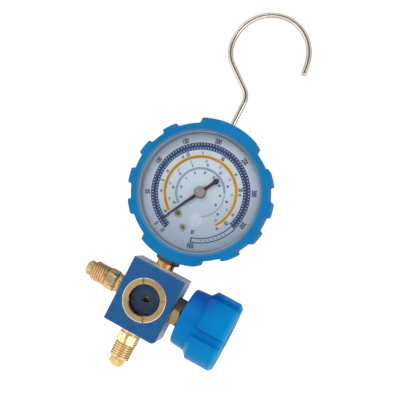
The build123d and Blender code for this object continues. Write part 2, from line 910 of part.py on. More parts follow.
def build_manifold_block():
    block = Box(block_width, block_depth, block_height)
    corner = block.edges().filter_by(Axis.Y).sort_by_distance((valve_face_x, 0, -block_top))[0]
    block = fillet(corner, block_corner_round)
    block = chamfer(block.edges().filter_by(Plane.XZ), block_edge_chamfer)
    block = Pos(0, 0, block_z) * block
    block -= valve_frame * disc(valve_bore_diameter, valve_seat_x, bonnet_inner_x + bore_overrun)
    block -= valve_frame * disc(bonnet_hole_diameter, bonnet_inner_x, valve_face_x + bore_overrun)
    block -= side_frame * disc(port_hole_diameter, -side_port_depth, bore_overrun)
    side_port_floor_x = side_port_depth - block_width / 2
    block -= valve_frame * hole(passage_diameter, side_port_floor_x, valve_seat_x)
    block -= bottom_frame * disc(port_hole_diameter, -long_port_depth, bore_overrun)
    block -= bottom_frame * disc(passage_diameter, -block_top, -long_port_depth + bore_overrun)
    top_frame = Pos(0, 0, block_z + block_top)
    block -= top_frame * disc(port_hole_diameter, -long_port_depth, bore_overrun)
    block -= top_frame * disc(passage_diameter, -block_top, -long_port_depth + bore_overrun)
    ring_floor = block_front + sight_ring_proud - sight_ring_thickness
    glass_floor = ring_floor - sight_glass_thickness - sight_gasket_thickness
    chamber_floor = glass_floor - sight_chamber_depth
    block -= front_frame * disc(sight_ring_diameter + 2 * fit_gap, ring_floor, block_front + bore_overrun)
    glass_room = sight_glass_diameter + 2 * thread_gap
    block -= front_frame * disc(glass_room, glass_floor, ring_floor + bore_overrun)
    block -= front_frame * disc(sight_chamber_diameter, chamber_floor, glass_floor + bore_overrun)
    block -= front_frame * disc(sight_hole_diameter, 0, chamber_floor + bore_overrun)
    return block


# Sight glass


def build_sight_ring():
    front = block_front + sight_ring_proud
    back = front - sight_ring_thickness
    ring = disc(sight_ring_diameter, back, front) - hole(sight_ring_opening, back, front)
    ring = fillet(ring.edges().group_by(Axis.Z)[-1], sight_ring_round)
    slot = Pos(0, 0, front - sight_slot_depth / 2) * Box(
        sight_slot_width, sight_ring_diameter + bore_overrun, sight_slot_depth + fit_gap
    )
    for turn in (0, 90):
        ring -= Rot(0, 0, sight_slot_turn + turn) * slot
    return front_frame * ring


def build_sight_glass():
    back = block_front + sight_ring_proud - sight_ring_thickness - sight_glass_thickness
    return front_frame * disc(sight_glass_diameter, back, back + sight_glass_thickness)


def build_sight_gasket():
    front = block_front + sight_ring_proud - sight_ring_thickness - sight_glass_thickness
    back = front - sight_gasket_thickness
    ring = disc(sight_glass_diameter, back, front)
    return front_frame * (ring - hole(sight_ring_opening, back, front))


# Flare fittings


def flare_fitting(insert_length, collar_length, nose_length, hex_turn):
    # grows from the block's face along +Z, with the insert below it
    hex_start = collar_length + flare_groove_width
    hex_end = hex_start + flare_hex_length
    thread_end = hex_end + flare_thread_length
    tip = thread_end + nose_length
    thread_radius = flare_thread_diameter / 2
    relief_radius = flare_relief_diameter / 2
    nose_radius = flare_nose_diameter / 2
    fitting = turned(
        [
            (0, hex_end),
            (relief_radius, hex_end),
            (relief_radius, hex_end + flare_relief_width),
            (thread_radius, hex_end + flare_relief_width),
            (thread_radius, thread_end - flare_thread_chamfer),
            (thread_radius - flare_thread_chamfer, thread_end),
            (nose_radius, thread_end),
            (nose_radius, tip - flare_nose_chamfer),
            (nose_radius - flare_nose_chamfer, tip),
            (0, tip),
        ]
    )
    wrench_hex = chamfered_hexagon(flare_hex, hex_start, hex_end, hex_turn)
    fitting += wrench_hex & disc(flare_stock_diameter, hex_start, hex_end)
    fitting += disc(flare_insert_diameter, -insert_length, 0)
    fitting += disc(flare_collar_diameter, 0, collar_length)
    fitting += disc(flare_groove_diameter, collar_length, hex_start)
    return fitting - hole(flare_bore_diameter, -insert_length, tip)


def build_side_fitting():
    insert = side_port_depth - fit_gap
    return side_frame * flare_fitting(insert, side_collar_length, side_nose_length, side_hex_turn)


def build_bottom_fitting():
    insert = long_port_depth - fit_gap
    return bottom_frame * flare_fitting(insert, bottom_collar_length, bottom_nose_length, bottom_hex_turn)


# Valve


def build_bonnet():
    bonnet = disc(bonnet_hole_diameter - 2 * fit_gap, bonnet_inner_x, valve_face_x)
    bonnet += chamfered_hexagon(bonnet_hex, valve_face_x, bonnet_outer_x, bonnet_hex_turn)
    bonnet -= disc(stem_screw_diameter + 2 * fit_gap, bonnet_inner_x - bore_overrun, bonnet_thread_end_x)
    bonnet -= disc(packing_diameter + 2 * thread_gap, bonnet_thread_end_x, bonnet_outer_x + bore_overrun)
    return valve_frame * bonnet


def build_gland_packing():
    end = bonnet_thread_end_x + packing_thickness
    ring = disc(packing_diameter, bonnet_thread_end_x, end)
    return valve_frame * (ring - hole(stem_shank_diameter + 2 * fit_gap, bonnet_thread_end_x, end))


def build_gland_nut():
    start = bonnet_thread_end_x + packing_thickness
    end = bonnet_outer_x + gland_hex_length
    nut = disc(packing_diameter, start, bonnet_outer_x)
    nut += chamfered_hexagon(gland_hex, bonnet_outer_x, end, bonnet_hex_turn)
    return valve_frame * (nut - hole(stem_shank_diameter + 2 * fit_gap, start, end))


def build_valve_stem():
    nose_start = piston_end_x - stem_nose_length
    stem = disc(stem_nose_diameter, nose_start, piston_end_x + fit_gap)
    stem += disc(stem_screw_diameter, piston_end_x + fit_gap, stem_screw_end_x)
    stem += disc(stem_shank_diameter, stem_screw_end_x, gland_floor_x)
    stem += prism(Rectangle(stem_square, stem_square), gland_floor_x, stem_square_end_x)
    screw_room = knob_screw_diameter + 2 * fit_gap
    screw_end = stem_square_end_x - knob_screw_length
    stem -= disc(screw_room, screw_end, stem_square_end_x + bore_overrun)
    return valve_frame * stem


def build_valve_piston():
    groove_start = piston_guide_x + piston_groove_start
    groove_diameter = valve_bore_diameter - 2 * ring_cord_diameter - 4 * fit_gap
    piston = disc(piston_nose_diameter, piston_nose_x, piston_guide_x)
    piston += disc(valve_bore_diameter - 2 * sliding_gap, piston_guide_x, piston_end_x)
    groove = disc(valve_bore_diameter + bore_overrun, groove_start, groove_start + piston_groove_width)
    piston -= groove - disc(groove_diameter, groove_start, groove_start + piston_groove_width)
    pocket_floor = piston_end_x - stem_nose_length - fit_gap
    piston -= disc(stem_nose_diameter + 2 * fit_gap, pocket_floor, piston_end_x + bore_overrun)
    return valve_frame * piston


def build_piston_o_ring():
    middle = piston_guide_x + piston_groove_start + piston_groove_width / 2
    ring_radius = (valve_bore_diameter - ring_cord_diameter) / 2 - fit_gap
    return valve_frame * Pos(0, 0, middle) * Torus(ring_radius, ring_cord_diameter / 2)


def build_seat_disc():
    start = valve_seat_x + disc_seat_gap
    return valve_frame * disc(disc_diameter, start, start + disc_thickness)


# Knob, its washer and screw


def build_knob():
    drum = turned(
        [
            (0, 0),
            (knob_drum_inner_radius, 0),
            (knob_drum_radius, knob_lobe_start),
            (knob_drum_radius, knob_length),
            (0, knob_length),
        ]
    )
    drum = fillet(drum.edges().group_by(Axis.Z)[0], knob_drum_round)
    lobes = turned(
        [
            (0, knob_lobe_start),
            (knob_drum_radius, knob_lobe_start),
            (knob_lobe_radius, knob_lobe_start + knob_lobe_ramp),
            (knob_lobe_radius, knob_length - knob_end_chamfer),
            (knob_lobe_radius - knob_end_chamfer, knob_length),
            (0, knob_length),
        ]
    )
    groove = Box(knob_groove_width, 2 * knob_lobe_radius, 2 * knob_length)
    groove = Pos(0, knob_lobe_radius, knob_length / 2) * groove
    for step in range(knob_lobes):
        # one groove faces the reader, a little below the valve's axis
        lobes -= Rot(0, 0, 90 + knob_groove_turn + step * 360 / knob_lobes) * groove
    long_edges = lobes.edges().filter_by(Axis.Z)
    tips = [edge for edge in long_edges if hypot(edge.center().X, edge.center().Y) > knob_drum_radius]
    lobes = fillet(tips, knob_groove_round)
    knob = drum + lobes
    knob -= disc(knob_gland_recess_diameter, -bore_overrun, knob_gland_recess_depth)
    recess_floor = knob_length - knob_screw_recess_depth
    knob -= disc(knob_screw_recess_diameter, recess_floor, knob_length + bore_overrun)
    side = stem_square + 2 * fit_gap
    knob -= prism(Rectangle(side, side), 0, knob_length)
    return valve_frame * Pos(0, 0, knob_inner_x) * knob


def build_knob_washer():
    end = knob_screw_floor_x + knob_washer_thickness
    washer = disc(knob_washer_diameter, knob_screw_floor_x, end)
    washer -= hole(knob_screw_diameter + 2 * fit_gap, knob_screw_floor_x, end)
    return valve_frame * washer


def build_knob_screw():
    seat = knob_screw_floor_x + knob_washer_thickness
    shank = disc(knob_screw_diameter, seat - knob_screw_length, seat)
    head = disc(knob_screw_head_diameter, seat, seat + knob_screw_head_height)
    head = fillet(head.edges().group_by(Axis.Z)[-1], knob_screw_head_height / 2)
    return valve_frame * (shank + head)


pieces = {
    "hook": build_hook,
    "hook_washer": build_hook_washer,
    "boot": build_boot,
    "case_shell": build_case_shell,
    "bezel_ring": build_bezel_ring,
    "lens": build_lens,
    "lens_gasket": build_lens_gasket,
    "dial": build_dial,
    "dial_screws": build_dial_screws,
    "pointer": build_pointer,
    "pointer_cap": build_pointer_cap,
    "pinion": build_pinion,
    "sector_gear": build_sector_gear,
    "sector_arbor": build_sector_arbor,
    "link": build_link,
    "hairspring": build_hairspring,
    "hairspring_stud": build_hairspring_stud,
    "movement_front_plate": build_movement_front_plate,
    "movement_back_plate": build_movement_back_plate,
    "movement_pillars": build_movement_pillars,
    "movement_screws": build_movement_screws,
    "bourdon_tube": build_bourdon_tube,
    "tip_block": build_tip_block,
    "gauge_socket": build_gauge_socket,
    "case_screws": build_case_screws,
    "stem_washer": build_stem_washer,
    "manifold_block": build_manifold_block,
    "sight_ring": build_sight_ring,
    "sight_glass": build_sight_glass,
    "sight_gasket": build_sight_gasket,
    "side_fitting": build_side_fitting,
    "bottom_fitting": build_bottom_fitting,
    "bonnet": build_bonnet,
    "gland_packing": build_gland_packing,
    "gland_nut": build_gland_nut,
    "valve_stem": build_valve_stem,
    "valve_piston": build_valve_piston,
    "piston_o_ring": build_piston_o_ring,
    "seat_disc": build_seat_disc,
    "knob": build_knob,
    "knob_washer": build_knob_washer,
    "knob_screw": build_knob_screw,
}

os.makedirs("parts", exist_ok=True)
for name, build in pieces.items():
    export_step(build(), f"parts/{name}.step")
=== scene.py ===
import json
import math

import bpy
from mathutils import Matrix, Vector


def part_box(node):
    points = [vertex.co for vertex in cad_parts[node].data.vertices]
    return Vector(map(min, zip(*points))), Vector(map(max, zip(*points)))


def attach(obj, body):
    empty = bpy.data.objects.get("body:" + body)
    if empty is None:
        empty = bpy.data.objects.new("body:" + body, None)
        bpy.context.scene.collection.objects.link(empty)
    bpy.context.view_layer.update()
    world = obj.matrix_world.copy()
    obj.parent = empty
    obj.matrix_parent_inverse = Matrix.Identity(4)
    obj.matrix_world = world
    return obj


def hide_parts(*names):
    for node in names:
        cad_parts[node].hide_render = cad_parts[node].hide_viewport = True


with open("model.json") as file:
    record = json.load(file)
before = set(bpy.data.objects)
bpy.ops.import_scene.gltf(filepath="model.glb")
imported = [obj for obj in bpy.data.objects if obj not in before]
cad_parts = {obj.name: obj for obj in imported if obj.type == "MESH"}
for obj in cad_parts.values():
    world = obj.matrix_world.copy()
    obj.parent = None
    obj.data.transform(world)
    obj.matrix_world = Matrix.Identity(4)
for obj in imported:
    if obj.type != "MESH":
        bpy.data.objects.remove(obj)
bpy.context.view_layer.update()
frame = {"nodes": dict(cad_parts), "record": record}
nodes = frame["nodes"]
slotOfNode = {part["node"]: part["material_slot"] for part in frame["record"]["subparts"]}
context = bpy.context
ops = bpy.ops

# centres on the stem's axis, in metres
gaugeZ = -0.10325
blockZ = -0.16755
valveZ = blockZ + 0.0016
dialFront = 0.006
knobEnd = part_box("knob")[1][0]
print("frame loaded:", len(nodes), "nodes")


# Small helpers for modelling


def deselectAll():
    if context.object and context.object.mode != "OBJECT":
        ops.object.mode_set(mode="OBJECT")
    ops.object.select_all(action="DESELECT")


def pick(piece):
    deselectAll()
    piece.select_set(True)
    context.view_layer.objects.active = piece


def joinAll(pieces, name):
    deselectAll()
    for piece in pieces:
        piece.select_set(True)
    context.view_layer.objects.active = pieces[0]
    if len(pieces) > 1:
        ops.object.join()
    joined = context.object
    joined.name = name
    joined.data.name = name
    return joined


def settle(piece, place=None):
    # the place goes into the mesh, and the object stays at the origin
    if place is not None:
        piece.matrix_world = place @ piece.matrix_world
    pick(piece)
    ops.object.transform_apply(location=True, rotation=True, scale=True)


def copyOf(piece, place):
    twin = piece.copy()
    twin.data = piece.data.copy()
    context.scene.collection.objects.link(twin)
    twin.matrix_world = place @ piece.matrix_world
    return twin


def applyModifier(piece, kind, **settings):
    pick(piece)
    modifier = piece.modifiers.new(kind.lower(), kind)
    for key, value in settings.items():
        setattr(modifier, key, value)
    ops.object.modifier_apply(modifier=modifier.name)


def smoothByAngle(piece, degrees=30):
    pick(piece)
    ops.object.shade_smooth_by_angle(angle=math.radians(degrees))


def meshCopyOfNode(node, name):
    # a working copy of a CAD node, with its loose triangles merged
    piece = nodes[node].copy()
    piece.data = nodes[node].data.copy()
    context.scene.collection.objects.link(piece)
    piece.parent = None
    piece.matrix_world = Matrix.Identity(4)
    piece.name = name
    for key in list(piece.keys()):
        del piece[key]
    pick(piece)
    ops.object.mode_set(mode="EDIT")
    ops.mesh.select_all(action="SELECT")
    ops.mesh.remove_doubles(threshold=1e-6)
    ops.object.mode_set(mode="OBJECT")
    return piece


def cutAway(piece, cutters):
    for cutter in cutters:
        applyModifier(piece, "BOOLEAN", operation="DIFFERENCE", solver="EXACT", object=cutter)
    for cutter in cutters:
        bpy.data.objects.remove(cutter, do_unlink=True)


def finishPiece(piece, body, material):
    piece.data.materials.clear()
    piece.data.materials.append(material)
    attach(piece, body)


# Shader graphs: addNode makes one node, and a socket given as a value is wired in


def addNode(tree, kind, inputs=None, **settings):
    node = tree.nodes.new(kind)
    for key, value in settings.items():
        setattr(node, key, value)
    for key, value in (inputs or {}).items():
        socket = node.inputs[key]
        if isinstance(value, bpy.types.NodeSocket):
            tree.links.new(value, socket)
        else:
            socket.default_value = value
    return node


def newGroup(name, inputs, outputs):
    tree = bpy.data.node_groups.new(name, "ShaderNodeTree")
    for label, kind, value in inputs:
        socket = tree.interface.new_socket(label, in_out="INPUT", socket_type=kind)
        if value is not None:
            socket.default_value = value
    for label, kind in outputs:
        tree.interface.new_socket(label, in_out="OUTPUT", socket_type=kind)
    return tree, tree.nodes.new("NodeGroupInput"), tree.nodes.new("NodeGroupOutput")


def mapRange(tree, value, fromMin, fromMax, toMin, toMax):
    return addNode(tree, "ShaderNodeMapRange", {
        "Value": value, "From Min": fromMin, "From Max": fromMax, "To Min": toMin,
        "To Max": toMax}).outputs["Result"]


def mixColour(tree, factor, first, second):
    # 6 and 7 are the colour sockets among the node's many, and 2 is the colour that comes out
    inputs = {0: factor, 6: first, 7: second}
    return addNode(tree, "ShaderNodeMix", inputs, data_type="RGBA").outputs[2]


def maths(tree, operation, first, second=0.0):
    node = addNode(tree, "ShaderNodeMath", {0: first, 1: second}, operation=operation)
    return node.outputs[0]


def times(tree, first, second):
    return maths(tree, "MULTIPLY", first, second)


def vectorMaths(tree, operation, first, second=None):
    inputs = {0: first} if second is None else {0: first, 1: second}
    node = addNode(tree, "ShaderNodeVectorMath", inputs, operation=operation)
    return node.outputs["Value" if operation in ("DOT_PRODUCT", "LENGTH") else "Vector"]


def coordinates(tree, vector):
    return addNode(tree, "ShaderNodeSeparateXYZ", {"Vector": vector}).outputs


def aroundAxis(tree, spot, x, z):
    # the place as seen from an axis along Y, and its distance from that axis
    centred = vectorMaths(tree, "ADD", spot, (-x, 0.0, -z))
    flat = vectorMaths(tree, "MULTIPLY", centred, (1.0, 0.0, 1.0))
    return flat, vectorMaths(tree, "LENGTH", flat)


def blendOver(tree, value, tone, change):
    # another tone where a value goes from one end of its reach to the other
    start, end = change["reach"]
    share = mapRange(tree, value, start, end, 0.0, change["share"])
    return mixColour(tree, share, tone, change["colour"])


def wireRoughness(tree, shader, value, low, high):
    rough = mapRange(tree, value, 0.0, 1.0, low, high)
    tree.links.new(rough, shader.inputs["Roughness"])


def wireBump(tree, shader, height, distance, strength=1.0, normal=None):
    inputs = {"Height": height, "Distance": distance, "Strength": strength}
    if normal is not None:
        inputs["Normal"] = normal
    bump = addNode(tree, "ShaderNodeBump", inputs)
    tree.links.new(bump.outputs["Normal"], shader.inputs["Normal"])


def sendStretched(tree, noise, sink, label):
    # noise keeps near its middle, so it is stretched over the whole range
    stretched = mapRange(tree, noise.outputs["Fac"], 0.3, 0.7, 0.0, 1.0)
    tree.links.new(stretched, sink.inputs[label])


def buildCloudGroup():
    # slow change of tone over a surface, and a finer grain
    tree, source, sink = newGroup(
        "toneClouds",
        [("Vector", "NodeSocketVector", None), ("Cloud Scale", "NodeSocketFloat", 60.0),
         ("Grain Scale", "NodeSocketFloat", 1500.0)],
        [("Cloud", "NodeSocketFloat"), ("Grain", "NodeSocketFloat")],
    )
    cloud = addNode(tree, "ShaderNodeTexNoise", {
        "Vector": source.outputs["Vector"], "Scale": source.outputs["Cloud Scale"],
        "Detail": 3.0, "Roughness": 0.55})
    grain = addNode(tree, "ShaderNodeTexNoise", {
        "Vector": source.outputs["Vector"], "Scale": source.outputs["Grain Scale"],
        "Detail": 2.0})
    sendStretched(tree, cloud, sink, "Cloud")
    sendStretched(tree, grain, sink, "Grain")
    return tree


def buildStreakGroup():
    # tool marks: noise squeezed along one direction
    tree, source, sink = newGroup(
        "toolStreaks",
        [("Vector", "NodeSocketVector", None),
         ("Squeeze", "NodeSocketVector", (1.0, 1.0, 1.0)), ("Scale", "NodeSocketFloat", 900.0)],
        [("Streak", "NodeSocketFloat"), ("Fine Streak", "NodeSocketFloat")],
    )
    squeezed = vectorMaths(tree, "MULTIPLY", source.outputs["Vector"], source.outputs["Squeeze"])
    coarse = addNode(tree, "ShaderNodeTexNoise", {
        "Vector": squeezed, "Scale": source.outputs["Scale"], "Detail": 2.0})
    finer = times(tree, source.outputs["Scale"], 4.0)
    fine = addNode(tree, "ShaderNodeTexNoise", {
        "Vector": squeezed, "Scale": finer, "Detail": 1.0})
    sendStretched(tree, coarse, sink, "Streak")
    sendStretched(tree, fine, sink, "Fine Streak")
    return tree


def buildEdgeGroup():
    # edges, where a softened normal departs from the true one, in patches: on some parts this tone
    # is wear, on the boot it is painted shade, and on the knob and sight ring a painted highlight
    tree, source, sink = newGroup(
        "wornEdges",
        [("Width", "NodeSocketFloat", 0.0004), ("Vector", "NodeSocketVector", None)],
        [("Edge", "NodeSocketFloat"), ("Soft Normal", "NodeSocketVector")],
    )
    bevel = addNode(tree, "ShaderNodeBevel", {"Radius": source.outputs["Width"]}, samples=4)
    geometry = addNode(tree, "ShaderNodeNewGeometry")
    likeness = vectorMaths(
        tree, "DOT_PRODUCT", bevel.outputs["Normal"], geometry.outputs["Normal"])
    edgePatches = addNode(tree, "ShaderNodeTexNoise", {
        "Vector": source.outputs["Vector"], "Scale": 700.0, "Detail": 3.0})
    # the edge mask; on the boot it carries painted shade, and on the knob and sight ring a painted
    # highlight, not bare metal
    bare = mapRange(tree, likeness, 0.995, 0.88, 0.0, 1.0)
    patches = mapRange(tree, edgePatches.outputs["Fac"], 0.35, 0.6, 0.0, 1.0)
    tree.links.new(times(tree, bare, patches), sink.inputs["Edge"])
    tree.links.new(bevel.outputs["Normal"], sink.inputs["Soft Normal"])
    return tree


def buildDustGroup():
    # small scattered specks
    tree, source, sink = newGroup(
        "dustSpecks",
        [("Vector", "NodeSocketVector", None), ("Scale", "NodeSocketFloat", 350.0),
         ("Size", "NodeSocketFloat", 0.12)],
        [("Speck", "NodeSocketFloat")],
    )
    cells = addNode(tree, "ShaderNodeTexVoronoi", {
        "Vector": source.outputs["Vector"], "Scale": source.outputs["Scale"]})
    speck = maths(tree, "LESS_THAN", cells.outputs["Distance"], source.outputs["Size"])
    tree.links.new(speck, sink.inputs["Speck"])
    return tree


toneClouds = buildCloudGroup()
toolStreaks = buildStreakGroup()
wornEdges = buildEdgeGroup()
dustSpecks = buildDustGroup()


def useGroup(tree, group, inputs):
    return addNode(tree, "ShaderNodeGroup", inputs, node_tree=group)


def cloudsOver(tree, spot, cloudScale, grainScale):
    return useGroup(tree, toneClouds, {
        "Vector": spot, "Cloud Scale": cloudScale, "Grain Scale": grainScale}).outputs


def newMaterial(name, plain):
    material = bpy.data.materials.new(name)
    material.use_nodes = True
    tree = material.node_tree
    shader = tree.nodes["Principled BSDF"]
    for key, value in plain.items():
        shader.inputs[key].default_value = value
    spot = addNode(tree, "ShaderNodeTexCoord").outputs["Object"]
    return material, tree, shader, spot


def threadRoots(tree, spot, tone, thread):
    # orange-brown in the thread's roots, by the distance from the fitting's axis
    centred = vectorMaths(tree, "ADD", spot, (0.0, 0.0, -blockZ))
    along = vectorMaths(tree, "DOT_PRODUCT", centred, thread["axis"])
    onAxis = addNode(
        tree, "ShaderNodeVectorMath", {0: thread["axis"], "Scale": along}, operation="SCALE")
    away = vectorMaths(tree, "SUBTRACT", centred, onAxis.outputs["Vector"])
    radius = vectorMaths(tree, "LENGTH", away)
    depth = mapRange(tree, radius, *threadSettings["rootRadii"], 0.0, 1.0)
    start, end = thread["reach"]
    beyond = maths(tree, "GREATER_THAN", along, start)
    inside = times(tree, beyond, maths(tree, "LESS_THAN", along, end))
    return mixColour(tree, times(tree, depth, inside), tone, thread["rootColour"])


def gaugeRing(tree, spot, tone, ring):
    # another tone near the dial, by the distance from the gauge's axis and before one depth
    radius = aroundAxis(tree, spot, 0.0, gaugeZ)[1]
    depth = coordinates(tree, spot)["Y"]
    outer, inner = ring["reach"]
    inside = mapRange(tree, radius, outer, inner, 0.0, ring["share"])
    ahead = maths(tree, "LESS_THAN", depth, ring["front"])
    return mixColour(tree, times(tree, inside, ahead), tone, ring["colour"])


# painted light on the knob: lighter outer end and low side, a painted highlight on the rim, violet
# painted shade at the drum's top
knobPaintedLightSettings = {
    "outward": {"reach": (0.036, 0.062), "share": 0.55, "colour": (0.0, 0.38, 0.76, 1)},
    "lower": {
        "reach": (valveZ + 0.002, valveZ - 0.016), "share": 0.55, "colour": (0.0, 0.36, 0.74, 1)},
    "rim": {
        "reach": (knobEnd - 0.0022, knobEnd), "share": 0.6, "colour": (0.04, 0.52, 0.82, 1)},
    "violet": {
        "height": (valveZ + 0.006, valveZ + 0.016), "reach": (0.038, 0.030), "share": 0.75,
        "colour": (0.014, 0.060, 0.42, 1)},
}


def knobGlow(tree, spot, tone):
    # painted light on the knob: lighter towards its outer end and low side, a painted highlight on
    # the end's rim, and violet painted shade at the drum's upper edge
    place = coordinates(tree, spot)
    for direction, name in (("X", "outward"), ("Z", "lower"), ("X", "rim")):
        tone = blendOver(tree, place[direction], tone, knobPaintedLightSettings[name])
    violet = knobPaintedLightSettings["violet"]
    upper = mapRange(tree, place["Z"], *violet["height"], 0.0, 1.0)
    inner = mapRange(tree, place["X"], *violet["reach"], 0.0, violet["share"])
    return mixColour(tree, times(tree, upper, inner), tone, violet["colour"])


def sortedFinish(name, settings):
    # the usual finish: two tones in clouds, an edge tone (wear on some parts, painted light on the
    # boot and knob), and tool marks in roughness and bump
    material, tree, shader, spot = newMaterial(name, settings.get("plain", {}))
    clouds = cloudsOver(
        tree, spot, settings.get("cloudScale", 60.0), settings.get("grainScale", 1500.0))
    streaks = useGroup(tree, toolStreaks, {
        "Vector": spot, "Squeeze": settings.get("squeeze", (1.0, 1.0, 1.0)),
        "Scale": settings.get("streakScale", 900.0)}).outputs
    edges = useGroup(tree, wornEdges, {
        "Vector": spot, "Width": settings.get("edgeWidth", 0.0003)}).outputs
    tone = mixColour(tree, clouds["Cloud"], settings["toneA"], settings["toneB"])
    streakTone = times(tree, streaks["Streak"], settings.get("streakTone", 0.0))
    tone = mixColour(tree, streakTone, tone, settings.get("streakColour", settings["toneB"]))
    edgeShare = times(tree, edges["Edge"], settings.get("edgeTone", 0.0))
    tone = mixColour(tree, edgeShare, tone, settings.get("edgeColour", settings["toneB"]))
    if settings.get("thread"):
        tone = threadRoots(tree, spot, tone, settings["thread"])
    if settings.get("ring"):
        tone = gaugeRing(tree, spot, tone, settings["ring"])
    if settings.get("knobGlow"):
        tone = knobGlow(tree, spot, tone)
    if settings.get("band"):
        tone = blendOver(tree, coordinates(tree, spot)["Z"], tone, settings["band"])
    tree.links.new(tone, shader.inputs["Base Color"])
    low, high = settings["roughness"]
    mixed = times(tree, maths(tree, "ADD", clouds["Grain"], streaks["Streak"]), 0.5)
    rough = mapRange(tree, mixed, 0.2, 0.8, low, high)
    tree.links.new(rough, shader.inputs["Roughness"])
    height = maths(tree, "ADD", clouds["Grain"], streaks["Fine Streak"])
    wireBump(
        tree, shader, height, settings.get("bumpDepth", 0.00001),
        settings.get("bumpStrength", 0.3), edges["Soft Normal"])
    return material


finishSettings = {
    "hook_wire": {
        "plain": {"Metallic": 1.0}, "toneA": (0.66, 0.61, 0.54, 1), "toneB": (0.57, 0.52, 0.45, 1),
        "roughness": (0.14, 0.26), "squeeze": (1.0, 1.0, 0.08), "streakScale": 2500.0,
        "bumpDepth": 0.000004,
    },
    "screw_steel": {
        "plain": {"Metallic": 1.0}, "toneA": (0.60, 0.60, 0.58, 1), "toneB": (0.50, 0.50, 0.49, 1),
        "roughness": (0.25, 0.45), "edgeTone": 0.4, "edgeColour": (0.75, 0.75, 0.74, 1),
    },
    "case_black": {
        "toneA": (0.018, 0.018, 0.02, 1), "toneB": (0.03, 0.03, 0.032, 1),
        "roughness": (0.35, 0.5), "edgeTone": 0.5, "edgeColour": (0.2, 0.2, 0.2, 1),
        "bumpDepth": 0.00002,
        "ring": {
            "reach": (0.03245, 0.0324), "front": -0.0035, "share": 1.0,
            "colour": (0.42, 0.47, 0.54, 1)},
    },
    "bezel_steel": {
        "plain": {"Metallic": 0.6}, "toneA": (0.44, 0.53, 0.66, 1), "toneB": (0.36, 0.44, 0.56, 1),
        "roughness": (0.3, 0.45), "streakScale": 1500.0, "squeeze": (0.2, 1.0, 0.2),
    },
    "gasket_black": {
        "toneA": (0.02, 0.02, 0.02, 1), "toneB": (0.035, 0.035, 0.035, 1),
        "roughness": (0.6, 0.8),
    },
    "pointer_black": {
        "plain": {"Specular IOR Level": 0.1}, "toneA": (0.006, 0.007, 0.011, 1),
        "toneB": (0.012, 0.013, 0.018, 1), "roughness": (0.5, 0.65), "edgeTone": 0.2,
        "edgeColour": (0.05, 0.05, 0.06, 1),
    },
    "cap_metal": {
        "plain": {"Metallic": 0.7}, "toneA": (0.30, 0.24, 0.22, 1), "toneB": (0.20, 0.16, 0.15, 1),
        "roughness": (0.35, 0.5), "cloudScale": 400.0, "edgeTone": 0.6,
        "edgeColour": (0.08, 0.07, 0.07, 1),
    },
    "pinion_steel": {
        "plain": {"Metallic": 1.0}, "toneA": (0.55, 0.55, 0.56, 1), "toneB": (0.45, 0.45, 0.47, 1),
        "roughness": (0.25, 0.4), "squeeze": (0.1, 1.0, 0.1),
    },
    "movement_brass": {
        "plain": {"Metallic": 1.0}, "toneA": (0.72, 0.50, 0.20, 1), "toneB": (0.62, 0.42, 0.16, 1),
        "roughness": (0.25, 0.4), "squeeze": (1.0, 1.0, 0.08),
    },
    "tube_bronze": {
        "plain": {"Metallic": 1.0}, "toneA": (0.60, 0.35, 0.16, 1), "toneB": (0.48, 0.27, 0.12, 1),
        "roughness": (0.3, 0.5),
    },
    "seal_white": {
        "toneA": (0.82, 0.80, 0.76, 1), "toneB": (0.74, 0.71, 0.66, 1), "roughness": (0.4, 0.55),
    },
    "stem_steel": {
        "plain": {"Metallic": 1.0}, "toneA": (0.55, 0.55, 0.56, 1), "toneB": (0.46, 0.46, 0.47, 1),
        "roughness": (0.22, 0.35), "squeeze": (1.0, 0.1, 0.1),
    },
    "boot_rubber": {
        "plain": {"Specular IOR Level": 0.16}, "toneA": (0.0, 0.228, 0.545, 1),
        "toneB": (0.0, 0.190, 0.48, 1), "cloudScale": 45.0, "grainScale": 2600.0,
        # darker edges: painted shade along the boot's outlines
        "roughness": (0.42, 0.56), "edgeWidth": 0.0006, "edgeTone": 0.4,
        "edgeColour": (0.0, 0.17, 0.40, 1), "bumpDepth": 0.00002,
        # a lighter ring on the lip's inner wall next to the bezel: painted highlight
        "ring": {
            "reach": (0.0340, 0.0326), "front": -0.005, "share": 0.65,
            "colour": (0.16, 0.33, 0.52, 1)},
    },
    "knob_blue": {
        "plain": {"Specular IOR Level": 0.06, "Coat Weight": 0.02, "Coat Roughness": 0.2},
        "toneA": (0.0, 0.245, 0.68, 1), "toneB": (0.0, 0.195, 0.60, 1), "cloudScale": 40.0,
        # lighter edges: painted highlight along the knob's edges, and the knob's painted light
        # below is switched on
        "roughness": (0.24, 0.36), "edgeWidth": 0.0007, "edgeTone": 0.6,
        "edgeColour": (0.01, 0.42, 0.86, 1), "knobGlow": True,
    },
}
brassTones = {
    "plain": {"Metallic": 1.0}, "toneA": (0.80, 0.60, 0.32, 1), "toneB": (0.72, 0.51, 0.25, 1),
    "roughness": (0.28, 0.42), "cloudScale": 120.0, "streakTone": 0.2,
    "streakColour": (0.62, 0.40, 0.17, 1), "edgeTone": 0.3, "edgeColour": (0.96, 0.82, 0.54, 1),
    "bumpDepth": 0.000008, "bumpStrength": 0.05,
}


def brassFinish(name, squeeze, thread=None, band=None, tones=None):
    # turned brass: the tool's marks run round the part's own axis
    return sortedFinish(name, {
        **brassTones, "squeeze": squeeze, "thread": thread, "band": band, **(tones or {})})


finishes = {name: sortedFinish(name, settings) for name, settings in finishSettings.items()}
